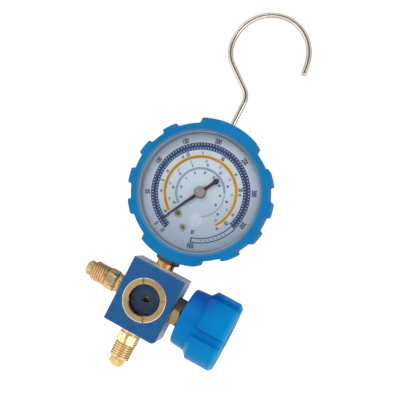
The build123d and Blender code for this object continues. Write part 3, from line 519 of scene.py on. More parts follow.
# painted shade: the gauge socket is dark from just under its hexagon upwards, in the boot's shade,
# and the bonnet's upper facets get a painted dark reflection
socketPaintedShade = {
    "reach": (gaugeZ - 0.0424, gaugeZ - 0.0423), "share": 1.0, "colour": (0.17, 0.13, 0.085, 1)}
bonnetPaintedReflection = {
    "reach": (valveZ + 0.0014, valveZ + 0.0024), "share": 0.75,
    "colour": (0.055, 0.065, 0.065, 1)}
brassUpright = brassFinish("brassUpright", (0.05, 0.05, 1.0), band=socketPaintedShade, tones={
    "toneA": (0.66, 0.40, 0.16, 1), "toneB": (0.50, 0.27, 0.09, 1), "roughness": (0.10, 0.18)})
# a darker copy of the brass for the bonnet, gland nut and piston: painted shade between the block
# and the knob
brassAcross = brassFinish("brassAcross", (1.0, 0.05, 0.05), band=bonnetPaintedReflection, tones={
    "toneA": (0.28, 0.20, 0.095, 1), "toneB": (0.22, 0.155, 0.075, 1),
    "edgeColour": (0.55, 0.44, 0.26, 1)})
finishes["fitting_brass"] = brassUpright

sightRingSettings = {
    "toneA": (0.46, 0.335, 0.17, 1),
    "toneB": (0.40, 0.285, 0.14, 1),
    "markTone": 0.3,
    "markColour": (0.40, 0.25, 0.11, 1),
    # a bright edge tone and a paler outer edge: painted highlights
    "edgeTone": 0.6,
    "edgeColour": (0.95, 0.80, 0.50, 1),
    "outerEdgeHighlight": {"reach": (0.0113, 0.0117), "share": 0.75, "colour": (1.0, 0.88, 0.70, 1)},
    "roughness": (0.22, 0.38),
}


def ringBrass():
    # the sight ring's face is turned, so its marks are circles about its own centre
    settings = sightRingSettings
    material, tree, shader, spot = newMaterial("brassRing", {"Metallic": 1.0})
    radius = aroundAxis(tree, spot, 0.0, blockZ)[1]
    rings = addNode(tree, "ShaderNodeCombineXYZ", {"X": radius})
    marks = useGroup(tree, toolStreaks, {
        "Vector": rings.outputs["Vector"], "Scale": 2200.0}).outputs
    clouds = cloudsOver(tree, spot, 160.0, 2500.0)
    edges = useGroup(tree, wornEdges, {"Vector": spot, "Width": 0.0004}).outputs
    tone = mixColour(tree, clouds["Cloud"], settings["toneA"], settings["toneB"])
    markShare = times(tree, marks["Streak"], settings["markTone"])
    tone = mixColour(tree, markShare, tone, settings["markColour"])
    # painted highlights on the edges and on the outer edge
    edgeShare = times(tree, edges["Edge"], settings["edgeTone"])
    tone = mixColour(tree, edgeShare, tone, settings["edgeColour"])
    tone = blendOver(tree, radius, tone, settings["outerEdgeHighlight"])
    tree.links.new(tone, shader.inputs["Base Color"])
    wireRoughness(tree, shader, marks["Streak"], *settings["roughness"])
    wireBump(tree, shader, marks["Fine Streak"], 0.00001, 0.4, edges["Soft Normal"])
    return material


blockSettings = {
    "blue": (0.008, 0.122, 0.345, 1),
    "deepBlue": (0.006, 0.098, 0.295, 1),
    "speck": (0.05, 0.2, 0.45, 1),
    "speckShare": 0.25,
    "bare": (0.78, 0.79, 0.80, 1),
    "bareDark": (0.67, 0.68, 0.70, 1),
    "bareMetal": 0.12,
    "roughness": (0.34, 0.5),
    "edgePatches": 0.35,
    # the sight chamber's dark tone, its painted shade low down, and near-black painted shade in the
    # passage
    "chamber": (0.010, 0.036, 0.078, 1),
    "chamberLow": (0.005, 0.017, 0.034, 1),
    "chamberDepth": (-0.0092, -0.001),
    "chamberShade": (0.004, -0.008),
    "chamberRadius": 0.0104,
    "hole": (0.006, 0.006, 0.008, 1),
    "holeRadius": 0.0029,
    "holeEnd": 0.009,
}


def blockFinish():
    # blue coat on the front and left faces, sawn bare metal elsewhere, and a dark sight chamber
    # with painted shade in its lower part and its passage
    material, tree, shader, spot = newMaterial("block_blue", {"Specular IOR Level": 0.3})
    settings = blockSettings
    facing = coordinates(tree, addNode(tree, "ShaderNodeTexCoord").outputs["Normal"])
    front = maths(tree, "LESS_THAN", facing["Y"], -0.5)
    left = maths(tree, "LESS_THAN", facing["X"], -0.5)
    coated = maths(tree, "MAXIMUM", front, left)
    clouds = cloudsOver(tree, spot, 70.0, 2200.0)
    saw = useGroup(tree, toolStreaks, {
        "Vector": spot, "Squeeze": (0.12, 1.0, 0.12), "Scale": 700.0}).outputs
    dust = useGroup(tree, dustSpecks, {"Vector": spot, "Scale": 500.0, "Size": 0.10})
    edges = useGroup(tree, wornEdges, {"Vector": spot, "Width": 0.0004}).outputs
    blue = mixColour(tree, clouds["Cloud"], settings["blue"], settings["deepBlue"])
    specks = times(tree, dust.outputs["Speck"], settings["speckShare"])
    blue = mixColour(tree, specks, blue, settings["speck"])
    bare = mixColour(tree, saw["Streak"], settings["bare"], settings["bareDark"])
    edgePatches = times(tree, edges["Edge"], settings["edgePatches"])
    coat = times(tree, coated, maths(tree, "SUBTRACT", 1.0, edgePatches))
    tone = mixColour(tree, coat, bare, blue)
    # the chamber behind the sight glass in a dark tone, with painted shade growing towards its
    # bottom, and near-black painted shade in the passage at its middle
    place = coordinates(tree, spot)
    radius = aroundAxis(tree, spot, 0.0, blockZ)[1]
    mouth, floor = settings["chamberDepth"]
    sunk = maths(tree, "GREATER_THAN", place["Y"], mouth)
    inside = times(tree, maths(tree, "LESS_THAN", radius, settings["chamberRadius"]), sunk)
    inFront = times(tree, inside, maths(tree, "LESS_THAN", place["Y"], floor))
    pale, dark = settings["chamberShade"]
    lower = mapRange(tree, place["Z"], blockZ + pale, blockZ + dark, 0.0, 1.0)
    chamber = mixColour(tree, lower, settings["chamber"], settings["chamberLow"])
    tone = mixColour(tree, inFront, tone, chamber)
    narrow = times(tree, inside, maths(tree, "LESS_THAN", radius, settings["holeRadius"]))
    bored = times(tree, narrow, maths(tree, "LESS_THAN", place["Y"], settings["holeEnd"]))
    tone = mixColour(tree, bored, tone, settings["hole"])
    tree.links.new(tone, shader.inputs["Base Color"])
    uncoated = maths(tree, "SUBTRACT", 1.0, coat)
    metal = times(tree, uncoated, maths(tree, "SUBTRACT", 1.0, inFront))
    tree.links.new(times(tree, metal, settings["bareMetal"]), shader.inputs["Metallic"])
    wireRoughness(tree, shader, clouds["Grain"], *settings["roughness"])
    height = maths(tree, "ADD", clouds["Grain"], saw["Fine Streak"])
    wireBump(tree, shader, height, 0.00002, 0.35, edges["Soft Normal"])
    return material


dialTones = {
    "toneA": (0.50, 0.555, 0.60, 1),
    "toneB": (0.46, 0.51, 0.57, 1),
    # painted shade: darker at the rim, and darker towards the low right
    "rim": {"reach": (0.024, 0.032), "share": 0.75, "colour": (0.33, 0.37, 0.46, 1)},
    "shadeDirection": (0.35, 0.0, -0.94),
    "shade": {"reach": (-0.006, 0.028), "share": 0.8, "colour": (0.235, 0.275, 0.355, 1)},
    "roughness": (0.5, 0.65),
}


def dialFinish():
    # pale grey-blue enamel, with painted shade: darker at the rim under the bezel, and darker
    # towards the low right
    material, tree, shader, spot = newMaterial("dial_white", {"Specular IOR Level": 0.3})
    clouds = cloudsOver(tree, spot, 28.0, 3000.0)
    flat, radius = aroundAxis(tree, spot, 0.0, gaugeZ)
    tone = mixColour(tree, clouds["Cloud"], dialTones["toneA"], dialTones["toneB"])
    tone = blendOver(tree, radius, tone, dialTones["rim"])
    sideways = vectorMaths(tree, "DOT_PRODUCT", flat, dialTones["shadeDirection"])
    tone = blendOver(tree, sideways, tone, dialTones["shade"])
    tree.links.new(tone, shader.inputs["Base Color"])
    wireRoughness(tree, shader, clouds["Grain"], *dialTones["roughness"])
    wireBump(tree, shader, clouds["Grain"], 0.000005)
    return material


def glassFinish(name, colour, roughness, index):
    # clear glass that lets the lamps' shadow rays through to what lies behind it
    plain = {"Base Color": colour, "Transmission Weight": 1.0, "IOR": index}
    material, tree, shader, spot = newMaterial(name, plain)
    clouds = cloudsOver(tree, spot, 90.0, 700.0)
    wireRoughness(tree, shader, clouds["Cloud"], *roughness)
    clear = addNode(tree, "ShaderNodeBsdfTransparent", {"Color": colour})
    path = addNode(tree, "ShaderNodeLightPath")
    mix = addNode(tree, "ShaderNodeMixShader", {
        0: path.outputs["Is Shadow Ray"], 1: shader.outputs["BSDF"], 2: clear.outputs["BSDF"]})
    tree.links.new(mix.outputs[0], tree.nodes["Material Output"].inputs["Surface"])
    return material


def inkFinish(name, colour, worn, leftSide=None):
    # screen-printed ink with slightly uneven cover, and on one scale another tone at the left
    material, tree, shader, spot = newMaterial(name, {"Specular IOR Level": 0.1})
    clouds = cloudsOver(tree, spot, 500.0, 4000.0)
    tone = mixColour(tree, times(tree, clouds["Cloud"], 0.5), colour, worn)
    if leftSide:
        tone = blendOver(tree, coordinates(tree, spot)["X"], tone, leftSide)
    tree.links.new(tone, shader.inputs["Base Color"])
    wireRoughness(tree, shader, clouds["Grain"], 0.45, 0.6)
    return material


finishes["block_blue"] = blockFinish()
finishes["dial_white"] = dialFinish()
finishes["lens_clear"] = glassFinish("lens_clear", (0.96, 0.98, 1.0, 1), (0.0, 0.03), 1.42)
finishes["sight_clear"] = glassFinish("sight_clear", (0.84, 0.93, 1.0, 1), (0.0, 0.04), 1.10)
navyInk = inkFinish("navyInk", (0.008, 0.028, 0.090, 1), (0.014, 0.038, 0.110, 1))
goldInk = inkFinish("goldInk", (0.48, 0.27, 0.055, 1), (0.54, 0.32, 0.08, 1), {
    "reach": (0.002, -0.014), "share": 0.8, "colour": (0.27, 0.22, 0.06, 1)})
amberInk = inkFinish("amberInk", (0.72, 0.44, 0.19, 1), (0.74, 0.50, 0.27, 1))
oliveInk = inkFinish("oliveInk", (0.28, 0.15, 0.025, 1), (0.34, 0.20, 0.04, 1))
paleInk = inkFinish("paleInk", (0.07, 0.13, 0.27, 1), (0.12, 0.19, 0.34, 1))
hazeInk = inkFinish("hazeInk", (0.27, 0.345, 0.44, 1), (0.32, 0.39, 0.48, 1))
dashInk = inkFinish("dashInk", (0.30, 0.37, 0.48, 1), (0.24, 0.31, 0.43, 1))
darkInk = inkFinish("darkInk", (0.015, 0.02, 0.05, 1), (0.035, 0.045, 0.09, 1))
greenInk = inkFinish("greenInk", (0.10, 0.24, 0.20, 1), (0.25, 0.38, 0.34, 1))

for node, slotName in slotOfNode.items():
    for place in nodes[node].material_slots:
        place.material = finishes[slotName]
gasketGrey = sortedFinish("gasketGrey", {
    "toneA": (0.24, 0.29, 0.37, 1), "toneB": (0.20, 0.25, 0.33, 1), "roughness": (0.6, 0.8)})
for node, material in {
    "sight_ring": ringBrass(), "bonnet": brassAcross, "gland_nut": brassAcross,
    "valve_piston": brassAcross, "lens_gasket": gasketGrey,
}.items():
    nodes[node].material_slots[0].material = material
print("finishes made:", len(bpy.data.materials))


# Dial printing, laid out flat with 12 o'clock along +Y, then stood up on the dial's face

# angles run clockwise from 12 o'clock, in degrees, and bands go from one radius to another
dialSettings = {
    "inkThickness": 0.00002,
    "rimLine": (0.0312, 0.03135),
    "outerBand": (0.0229, 0.0268),
    "outerBandArc": (-162.3, 109.6),
    "bandLine": 0.00045,
    "dashStep": 3.6,
    "dashLength": 0.0008,
    "dashWidths": (0.00054, 0.00050),
    "emptyBand": (0.0242, 0.0271),
    "emptyBandEnd": 165.0,
    "emptyBandLine": 0.00055,
    "emptyBandEndWidth": 0.0007,
    "emptyMarks": {"band": (0.02525, 0.02615), "width": 0.0004, "arc": (122.0, 152.0), "step": 5.0},
    "numberWidth": 0.66,
    "numberBoldness": 0.04,
    "goldBand": (0.0185, 0.0199),
    "goldArc": (-144.8, 127.7),
    "amberEdges": (0.0004, 0.0007),
    "goldMiddleLine": 0.0003,
    "goldTick": {"width": 0.0005, "step": 4.1},
    "paleBand": (0.0124, 0.0135),
    "paleLine": 0.00025,
    "paleArc": (-141.0, 64.0),
    "paleTick": {"width": 0.0003, "step": 7.5},
    "thinLine": (0.01305, 0.01325),
    "thinArc": (64.0, 154.0),
    "thinTick": {"band": (0.0125, 0.0132), "width": 0.0003, "step": 4.5},
    "eyeletRadius": 0.0162,
    "eyeletAngle": -161.0,
    "lowerScrewRadius": 0.0207,
}


def arcBand(inner, outer, fromAngle, toAngle, steps=360):
    # part of a circle's outline, drawn out inwards into a flat band
    ops.mesh.primitive_circle_add(vertices=steps, radius=outer)
    band = context.object
    low, high = math.radians(fromAngle), math.radians(toAngle)
    ops.object.mode_set(mode="EDIT")
    ops.mesh.select_all(action="DESELECT")
    ops.object.mode_set(mode="OBJECT")
    slack = math.pi / steps
    for vertex in band.data.vertices:
        angle = math.atan2(vertex.co.x, vertex.co.y)
        turns = [angle, angle + 2 * math.pi, angle - 2 * math.pi]
        vertex.select = not any(low - slack <= turn <= high + slack for turn in turns)
    ops.object.mode_set(mode="EDIT")
    ops.mesh.delete(type="VERT")
    ops.mesh.select_all(action="SELECT")
    ops.mesh.extrude_edges_move()
    ops.transform.resize(value=(inner / outer,) * 3, center_override=(0, 0, 0))
    ops.object.mode_set(mode="OBJECT")
    return band


def tickRow(inner, outer, width, fromAngle, toAngle, step):
    # one bar, copied round the dial
    ops.mesh.primitive_plane_add(size=1)
    tick = context.object
    tick.scale = (width, outer - inner, 1)
    tick.location = (0, (inner + outer) / 2, 0)
    settle(tick)
    row = []
    for index in range(int(round((toAngle - fromAngle) / step)) + 1):
        turned = Matrix.Rotation(-math.radians(fromAngle + step * index), 4, "Z")
        row.append(copyOf(tick, turned))
    bpy.data.objects.remove(tick, do_unlink=True)
    return row


def dialNumber(words, radius, angle, size):
    ops.object.text_add()
    text = context.object
    text.data.body = words
    text.data.size = size
    text.data.align_x = "CENTER"
    text.data.align_y = "CENTER"
    text.data.resolution_u = 3
    text.data.offset = dialSettings["numberBoldness"] * size
    ops.object.convert(target="MESH")
    number = context.object
    number.scale = (dialSettings["numberWidth"], 1, 1)
    settle(number)
    turned = Matrix.Rotation(-math.radians(angle), 4, "Z")
    number.matrix_world = turned @ Matrix.Translation((0, radius, 0))
    return number


def standOnDial(pieces, name, ink, layer):
    flat = joinAll(pieces, name)
    settle(flat)
    applyModifier(flat, "SOLIDIFY", thickness=dialSettings["inkThickness"], offset=1.0)
    face = -(dialFront + layer * dialSettings["inkThickness"])
    upright = Matrix.Rotation(math.radians(90), 4, "X")
    settle(flat, Matrix.Translation((0, face, gaugeZ)) @ upright)
    finishPiece(flat, "manifold", ink)


def buildOuterScale():
    inner, outer = dialSettings["outerBand"]
    start, end = dialSettings["outerBandArc"]
    last = dialSettings["emptyBandEnd"]
    edge = dialSettings["emptyBandLine"]
    emptyInner, emptyOuter = dialSettings["emptyBand"]
    marks = dialSettings["emptyMarks"]
    lines = [
        arcBand(inner, outer, start, end),
        arcBand(emptyOuter - edge, emptyOuter, end, last),
        arcBand(emptyInner, emptyInner + edge, end, last),
    ]
    endWidth = dialSettings["emptyBandEndWidth"]
    lines += tickRow(emptyInner, emptyOuter, endWidth, last - 1.0, last - 1.0, 1.0)
    lines += tickRow(*marks["band"], marks["width"], *marks["arc"], marks["step"])
    lines.append(arcBand(*dialSettings["rimLine"], -180.0, 180.0))
    standOnDial(lines, "outerScale", navyInk, 1)
    # pale dashes along both edges of the band, half a step apart
    line = dialSettings["bandLine"]
    step = dialSettings["dashStep"]
    long = dialSettings["dashLength"]
    outerWidth, innerWidth = dialSettings["dashWidths"]
    dashes = tickRow(outer - line - long, outer - line, outerWidth, start + step, end, step)
    dashes += tickRow(inner + line, inner + line + long, innerWidth, start + step / 2, end, step)
    standOnDial(dashes, "scaleDashes", dashInk, 2)


def buildGoldScale():
    inner, outer = dialSettings["goldBand"]
    start, end = dialSettings["goldArc"]
    below, above = dialSettings["amberEdges"]
    standOnDial([arcBand(inner - below, outer + above, start, end)], "amberBand", amberInk, 1)
    standOnDial([arcBand(inner, outer, start, end)], "goldBand", goldInk, 2)
    middle = (inner + outer) / 2
    half = dialSettings["goldMiddleLine"] / 2
    marks = [arcBand(middle - half, middle + half, start, end)]
    tick = dialSettings["goldTick"]
    marks += tickRow(inner, outer, tick["width"], start, end, tick["step"])
    standOnDial(marks, "goldTicks", oliveInk, 3)


def buildPaleScale():
    # a double line with ticks, which goes on as one thin line
    inner, outer = dialSettings["paleBand"]
    line = dialSettings["paleLine"]
    start, end = dialSettings["paleArc"]
    standOnDial([arcBand(inner, outer, start, end)], "paleBand", hazeInk, 1)
    lines = [arcBand(inner, inner + line, start, end), arcBand(outer - line, outer, start, end)]
    tick = dialSettings["paleTick"]
    lines += tickRow(inner, outer, tick["width"], start, end, tick["step"])
    thinArc = dialSettings["thinArc"]
    lines.append(arcBand(*dialSettings["thinLine"], *thinArc))
    tick = dialSettings["thinTick"]
    lines += tickRow(*tick["band"], tick["width"], *thinArc, tick["step"])
    standOnDial(lines, "paleScale", paleInk, 2)


zeroAngle = -151.6
goldStart, goldEnd = dialSettings["goldArc"]
numberRings = {
    "pressure": {
        "values": range(0, 400, 50), "radius": 0.0285, "start": zeroAngle, "step": 36.04,
        "size": 0.0036},
    "bar": {
        "values": range(0, 30, 5), "radius": 0.0214, "start": zeroAngle, "step": 52.9,
        "size": 0.0031},
    "outerDegrees": {
        "values": range(-40, 60, 10), "radius": 0.0211, "start": goldStart,
        "step": (goldEnd - goldStart) / 9, "size": 0.0020},
    "greenDegrees": {
        "values": (-40, -25, -15, 5, 15, 25, 35, 45, 55, 65), "radius": 0.0170, "start": -128.0,
        "step": 28.0, "size": 0.0019},
    "middleDegrees": {
        "values": range(-30, 60, 10), "radius": 0.0149, "start": -138.0, "step": 31.5,
        "size": 0.0019},
    "innerDegrees": {
        "values": range(-20, 70, 10), "radius": 0.0107, "start": -130.0, "step": 29.0,
        "size": 0.0018},
}
# the ends of both pressure scales and of the vacuum part: text, radius, angle and size
endNumbers = (
    ("500", 0.0285, 163.4, 0.0036), ("30", 0.0284, -161.8, 0.0030), ("35", 0.0213, 164.0, 0.0030))


def numberRing(name):
    ring = numberRings[name]
    return [
        dialNumber(str(value), ring["radius"], ring["start"] + ring["step"] * index, ring["size"])
        for index, value in enumerate(ring["values"])]


def buildPressureNumbers():
    ends = [dialNumber(*number) for number in endNumbers]
    standOnDial(numberRing("pressure") + numberRing("bar") + ends, "pressureNumbers", darkInk, 1)


def buildTemperatureNumbers():
    degrees = [
        number for name in ("outerDegrees", "innerDegrees", "middleDegrees")
        for number in numberRing(name)]
    standOnDial(degrees, "temperatureNumbers", darkInk, 3)
    standOnDial(numberRing("greenDegrees"), "secondTemperatureNumbers", greenInk, 3)


dialScrewSettings = {
    "brass": ((0.32, 0.27, 0.15, 1), (0.25, 0.21, 0.12, 1)),
    "brassMiddle": {"radius": 0.0010, "colour": (0.08, 0.06, 0.035, 1)},
    "brassReach": 0.0025,
    "steel": ((0.25, 0.26, 0.27, 1), (0.30, 0.31, 0.32, 1)),
    "steelMiddle": {"radius": 0.0009, "colour": (0.10, 0.085, 0.06, 1)},
    "slotSize": (0.0005, 0.0006, 0.006),
    "slotDepth": 0.0006,
    "slotTurns": (30.0, -35.0),
}


def screwPlaces():
    # sideways from and above the dial's centre: the upper head, then the lower one
    angle = math.radians(dialSettings["eyeletAngle"])
    reach = dialSettings["eyeletRadius"]
    upper = (reach * math.sin(angle), reach * math.cos(angle))
    return upper, (0.0, -dialSettings["lowerScrewRadius"])


def eyeletFinish():
    # the upper head is brass, the lower one dark steel, and both have a dark middle
    material, tree, shader, spot = newMaterial("dialScrewHeads", {"Metallic": 0.8})
    clouds = cloudsOver(tree, spot, 500.0, 4000.0)
    tones, radii = [], []
    for name, (x, z) in zip(("brass", "steel"), screwPlaces()):
        middle = dialScrewSettings[name + "Middle"]
        radius = aroundAxis(tree, spot, x, gaugeZ + z)[1]
        tone = mixColour(tree, clouds["Cloud"], *dialScrewSettings[name])
        inMiddle = maths(tree, "LESS_THAN", radius, middle["radius"])
        tones.append(mixColour(tree, inMiddle, tone, middle["colour"]))
        radii.append(radius)
    onUpper = maths(tree, "LESS_THAN", radii[0], dialScrewSettings["brassReach"])
    tree.links.new(mixColour(tree, onUpper, tones[1], tones[0]), shader.inputs["Base Color"])
    wireRoughness(tree, shader, clouds["Grain"], 0.3, 0.5)
    return material


def buildDialScrews():
    heads = meshCopyOfNode("dial_screws", "dialScrewHeads")
    slots = []
    front = -dialFront - dialScrewSettings["slotDepth"]
    for (x, z), turn in zip(screwPlaces(), dialScrewSettings["slotTurns"]):
        ops.mesh.primitive_cube_add(size=1)
        slot = context.object
        slot.scale = dialScrewSettings["slotSize"]
        settle(slot)
        centre = Matrix.Translation((x, front, gaugeZ + z))
        settle(slot, centre @ Matrix.Rotation(math.radians(turn), 4, "Y"))
        slots.append(slot)
    cutAway(heads, slots)
    smoothByAngle(heads)
    finishPiece(heads, "manifold", eyeletFinish())
    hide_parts("dial_screws")


deselectAll()
buildDialScrews()
buildOuterScale()
buildPressureNumbers()
buildGoldScale()
buildPaleScale()
buildTemperatureNumbers()
print("dial printed")


# Threads on the flare fittings, and cross recesses in the screw heads

threadSettings = {
    "pitch": 0.00127,
    "depth": 0.00066,
    "crestRadius": 0.00555,
    "flatWidth": 0.00022,
    "stepsPerTurn": 40,
    "overlap": 0.0002,
    "sideReach": (0.0099, 0.0188),
    "bottomReach": (0.0081, 0.0170),
    "rootRadii": (0.0054, 0.0050),
}


def threadCutter(start, end):
    # a three-sided groove wound round +Z, with both ends closed
    pitch = threadSettings["pitch"]
    crest = threadSettings["crestRadius"]
    depth = threadSettings["depth"]
    over = threadSettings["overlap"]
    wide = (pitch - threadSettings["flatWidth"]) / 2 * (1 + over / depth)
    ops.mesh.primitive_circle_add(vertices=3, radius=1)
    groove = context.object
    corners = [(crest - depth, start), (crest + over, start + wide), (crest + over, start - wide)]
    for vertex, (reach, height) in zip(groove.data.vertices, corners):
        vertex.co = (reach, 0, height)
    turns = (end - start) / pitch
    steps = int(turns * threadSettings["stepsPerTurn"])
    applyModifier(
        groove, "SCREW", axis="Z", angle=turns * 2 * math.pi, screw_offset=end - start,
        iterations=1, steps=steps, render_steps=steps, use_smooth_shade=False)
    ops.object.mode_set(mode="EDIT")
    ops.mesh.select_all(action="SELECT")
    ops.mesh.fill_holes(sides=3)
    ops.mesh.select_all(action="SELECT")
    ops.mesh.normals_make_consistent(inside=False)
    ops.object.mode_set(mode="OBJECT")
    return groove


def buildThreadedFitting(node, name, place, reach, material):
    fitting = meshCopyOfNode(node, name)
    groove = threadCutter(*reach)
    settle(groove, place)
    cutAway(fitting, [groove])
    smoothByAngle(fitting, 32)
    finishPiece(fitting, "manifold", material)
    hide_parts(node)


# the block's faces that the fittings stand on, with each thread's axis along +Z from there
blockLeft = -0.0155
blockBottom = blockZ - 0.0185
sideFace = Matrix.Translation((blockLeft, 0, blockZ)) @ Matrix.Rotation(math.radians(-90), 4, "Y")
bottomFace = Matrix.Translation((0, 0, blockBottom)) @ Matrix.Rotation(math.radians(180), 4, "X")
sideThread = {
    "axis": (-1.0, 0.0, 0.0), "reach": (0.0250, 0.0339), "rootColour": (0.60, 0.30, 0.10, 1)}
bottomThread = {
    "axis": (0.0, 0.0, -1.0), "reach": (0.0262, 0.0351), "rootColour": (0.80, 0.48, 0.18, 1)}
# painted highlight: the bottom fitting's hexagon, above its thread, is paler
hexagonPaintedHighlight = {
    "reach": (blockZ - 0.0262, blockZ - 0.0259), "share": 1.0, "colour": (1.0, 0.76, 0.46, 1)}
sideBrass = brassFinish("brassSideFlare", (1.0, 0.05, 0.05), sideThread, tones={
    "toneA": (0.72, 0.53, 0.27, 1), "toneB": (0.63, 0.44, 0.21, 1),
    "plain": {"Metallic": 0.85}})
# brighter brass tones than the side fitting's: painted light on the bottom fitting
bottomBrass = brassFinish("brassBottomFlare", (0.05, 0.05, 1.0), bottomThread, hexagonPaintedHighlight, {
    "toneA": (0.90, 0.67, 0.35, 1), "toneB": (0.80, 0.55, 0.24, 1), "roughness": (0.20, 0.30),
    "plain": {"Metallic": 0.85}})
buildThreadedFitting(
    "side_fitting", "sideFlareFitting", sideFace, threadSettings["sideReach"], sideBrass)
buildThreadedFitting(
    "bottom_fitting", "bottomFlareFitting", bottomFace, threadSettings["bottomReach"],
    bottomBrass)
print("threads cut")


crossSettings = {"arm": 0.0034, "width": 0.0008, "depth": 0.0011}
# the case's two screws, sideways from the stem's axis and below the gauge's centre
caseScrewAside = 0.0048
caseScrewDrop = 0.024


def crossCutters(centre, facing):
    # two crossed bars sunk into a screw's head, facing +X or +Y
    cutters = []
    for turn in (45.0, 135.0):
        ops.mesh.primitive_cube_add(size=1)
        bar = context.object
        bar.scale = (crossSettings["arm"], crossSettings["width"], 2 * crossSettings["depth"])
        settle(bar)
        settle(bar, Matrix.Rotation(math.radians(turn), 4, "Z"))
        settle(bar, facing.to_track_quat("Z", "Y").to_matrix().to_4x4())
        settle(bar, Matrix.Translation(centre))
        cutters.append(bar)
    return cutters


def buildCrossScrews(node, name, body, centres, facing):
    screws = meshCopyOfNode(node, name)
    cutters = [cutter for centre in centres for cutter in crossCutters(centre, facing)]
    cutAway(screws, cutters)
    smoothByAngle(screws)
    finishPiece(screws, body, finishes["screw_steel"])
    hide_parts(node)


knobCentre = Vector((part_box("knob_screw")[1][0], 0, valveZ))
buildCrossScrews("knob_screw", "knobScrewHead", "knob", [knobCentre], Vector((1, 0, 0)))
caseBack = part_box("case_screws")[1][1]
caseCentres = [
    Vector((side * caseScrewAside, caseBack, gaugeZ - caseScrewDrop)) for side in (1, -1)]
buildCrossScrews("case_screws", "caseScrewHeads", "manifold", caseCentres, Vector((0, 1, 0)))
print("recesses cut")


# Floor and backdrop, lamps and camera

studioSettings = {
    "floorZ": -0.30,
    "floorTone": 0.86,
    "floorSeenTone": 1.9,
    "fill": 0.60,
    "keyLamp": {"place": (-0.45, -0.75, 0.35), "size": 0.5, "power": 2.2},
    "sideLamp": {"place": (0.7, -0.5, -0.05), "size": 0.4, "power": 1.0},
    "frontCard": {"place": (0.0, -0.62, 0.08), "size": (0.86, 0.66), "glow": 0.08},
    "backCard": {"place": (0.0, 0.26, -0.10), "size": (1.7, 1.5), "glow": 0.36},
    "lowCard": {"place": (-0.03, -0.25, -0.272), "size": (0.17, 0.056), "glow": 0.30},
    "lensLamp": {
        "place": (-0.0597, -0.4054, -0.1358), "radius": 0.0075, "glow": 2.6,
        "colour": (1.0, 0.92, 0.85, 1)},
}


def hideFromAllButMirrors(card):
    for kind in ("camera", "diffuse", "transmission", "shadow"):
        setattr(card, "visible_" + kind, False)


def glowOf(name, strength, colour):
    material = bpy.data.materials.new(name)
    material.use_nodes = True
    tree = material.node_tree
    glow = addNode(tree, "ShaderNodeEmission", {"Color": colour, "Strength": strength})
    tree.links.new(glow.outputs[0], tree.nodes["Material Output"].inputs["Surface"])
    return material


def faceGauge(piece, place, axis):
    # the piece stands at a place, with one of its axes towards the gauge
    aim = Vector((0, 0, gaugeZ)) - Vector(place)
    piece.rotation_euler = aim.to_track_quat(axis, "Y").to_euler()
    piece.location = place


def finishCard(card, name, settings):
    card.name = name
    faceGauge(card, settings["place"], "Z")
    colour = settings.get("colour", (1, 1, 1, 1))
    card.data.materials.append(glowOf(name, settings["glow"], colour))
    hideFromAllButMirrors(card)


def addCard(name):
    # a board that only mirrors see
    settings = studioSettings[name]
    ops.mesh.primitive_grid_add(x_subdivisions=2, y_subdivisions=2, size=1)
    context.object.scale = (*settings["size"], 1)
    finishCard(context.object, name, settings)


def addLensLamp():
    # the small round lamp that the lens mirrors below the hub
    settings = studioSettings["lensLamp"]
    ops.mesh.primitive_circle_add(vertices=64, radius=settings["radius"], fill_type="TRIFAN")
    finishCard(context.object, "lensLamp", settings)


def buildFloor():
    # a matte floor that keeps the object's shadow, and is paler to the camera and to mirrors
    middle = (0, 1.0, studioSettings["floorZ"])
    ops.mesh.primitive_grid_add(x_subdivisions=8, y_subdivisions=8, size=6, location=middle)
    floor = context.object
    floor.name = "studioFloor"
    material = bpy.data.materials.new("paleFloor")
    material.use_nodes = True
    tree = material.node_tree
    path = addNode(tree, "ShaderNodeLightPath")
    plain, seen = studioSettings["floorTone"], studioSettings["floorSeenTone"]
    looked = maths(tree, "MAXIMUM", path.outputs["Is Camera Ray"], path.outputs["Is Glossy Ray"])
    tone = mixColour(tree, looked, (plain, plain, plain, 1), (seen, seen, seen, 1))
    matte = addNode(tree, "ShaderNodeBsdfDiffuse", {"Color": tone})
    tree.links.new(matte.outputs[0], tree.nodes["Material Output"].inputs["Surface"])
    floor.data.materials.append(material)


def addLamp(name):
    settings = studioSettings[name]
    data = bpy.data.lights.new(name, "AREA")
    data.shape = "DISK"
    data.size = settings["size"]
    data.energy = settings["power"]
    lamp = bpy.data.objects.new(name, data)
    context.scene.collection.objects.link(lamp)
    faceGauge(lamp, settings["place"], "-Z")


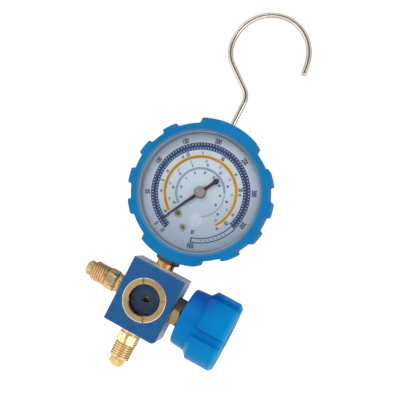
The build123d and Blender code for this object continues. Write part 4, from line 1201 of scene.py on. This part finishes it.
def buildWorld():
    world = bpy.data.worlds.new("studio")
    context.scene.world = world
    world.use_nodes = True
    tree = world.node_tree
    path = addNode(tree, "ShaderNodeLightPath")
    seen = maths(tree, "MAXIMUM", path.outputs["Is Camera Ray"], path.outputs["Is Glossy Ray"])
    seen = maths(tree, "MAXIMUM", seen, path.outputs["Is Transmission Ray"])
    strength = mapRange(tree, seen, 0.0, 1.0, studioSettings["fill"], 1.0)
    background = tree.nodes["Background"]
    background.inputs["Color"].default_value = (1, 1, 1, 1)
    tree.links.new(strength, background.inputs["Strength"])


cameraSettings = {
    "yaw": math.radians(9.8),
    "pitch": math.radians(1.05),
    "roll": math.radians(-27.04),
    "distance": 0.375,
    "pixelsPerMetre": 1904.5,
    "pictureWidth": 400,
    "sensorWidth": 36,
    "aim": (0.0, -0.011, gaugeZ),
    "shiftRight": 0.00058,
    "shiftUp": -0.00427,
}


def placeCamera(settings):
    yaw, pitch, roll = settings["yaw"], settings["pitch"], settings["roll"]
    level = math.cos(pitch)
    back = Vector((math.sin(yaw) * level, -math.cos(yaw) * level, math.sin(pitch)))
    right = Vector((math.cos(yaw), math.sin(yaw), 0))
    up = back.cross(right)
    turnedRight = math.cos(roll) * right - math.sin(roll) * up
    turnedUp = math.sin(roll) * right + math.cos(roll) * up
    aim = Vector(settings["aim"]) + settings["shiftRight"] * turnedRight
    aim += settings["shiftUp"] * turnedUp
    data = bpy.data.cameras.new("camera")
    data.sensor_width = settings["sensorWidth"]
    pictureShare = settings["pixelsPerMetre"] * settings["distance"] / settings["pictureWidth"]
    data.lens = pictureShare * settings["sensorWidth"]
    data.clip_start = 0.01
    data.clip_end = 20
    camera = bpy.data.objects.new("camera", data)
    place = Matrix((turnedRight, turnedUp, back)).transposed().to_4x4()
    place.translation = aim + settings["distance"] * back
    camera.matrix_world = place
    context.scene.collection.objects.link(camera)
    context.scene.camera = camera


buildFloor()
buildWorld()
for name in ("frontCard", "backCard", "lowCard"):
    addCard(name)
addLensLamp()
addLamp("keyLamp")
addLamp("sideLamp")
placeCamera(cameraSettings)
context.scene.view_settings.view_transform = "Standard"
print("studio ready")
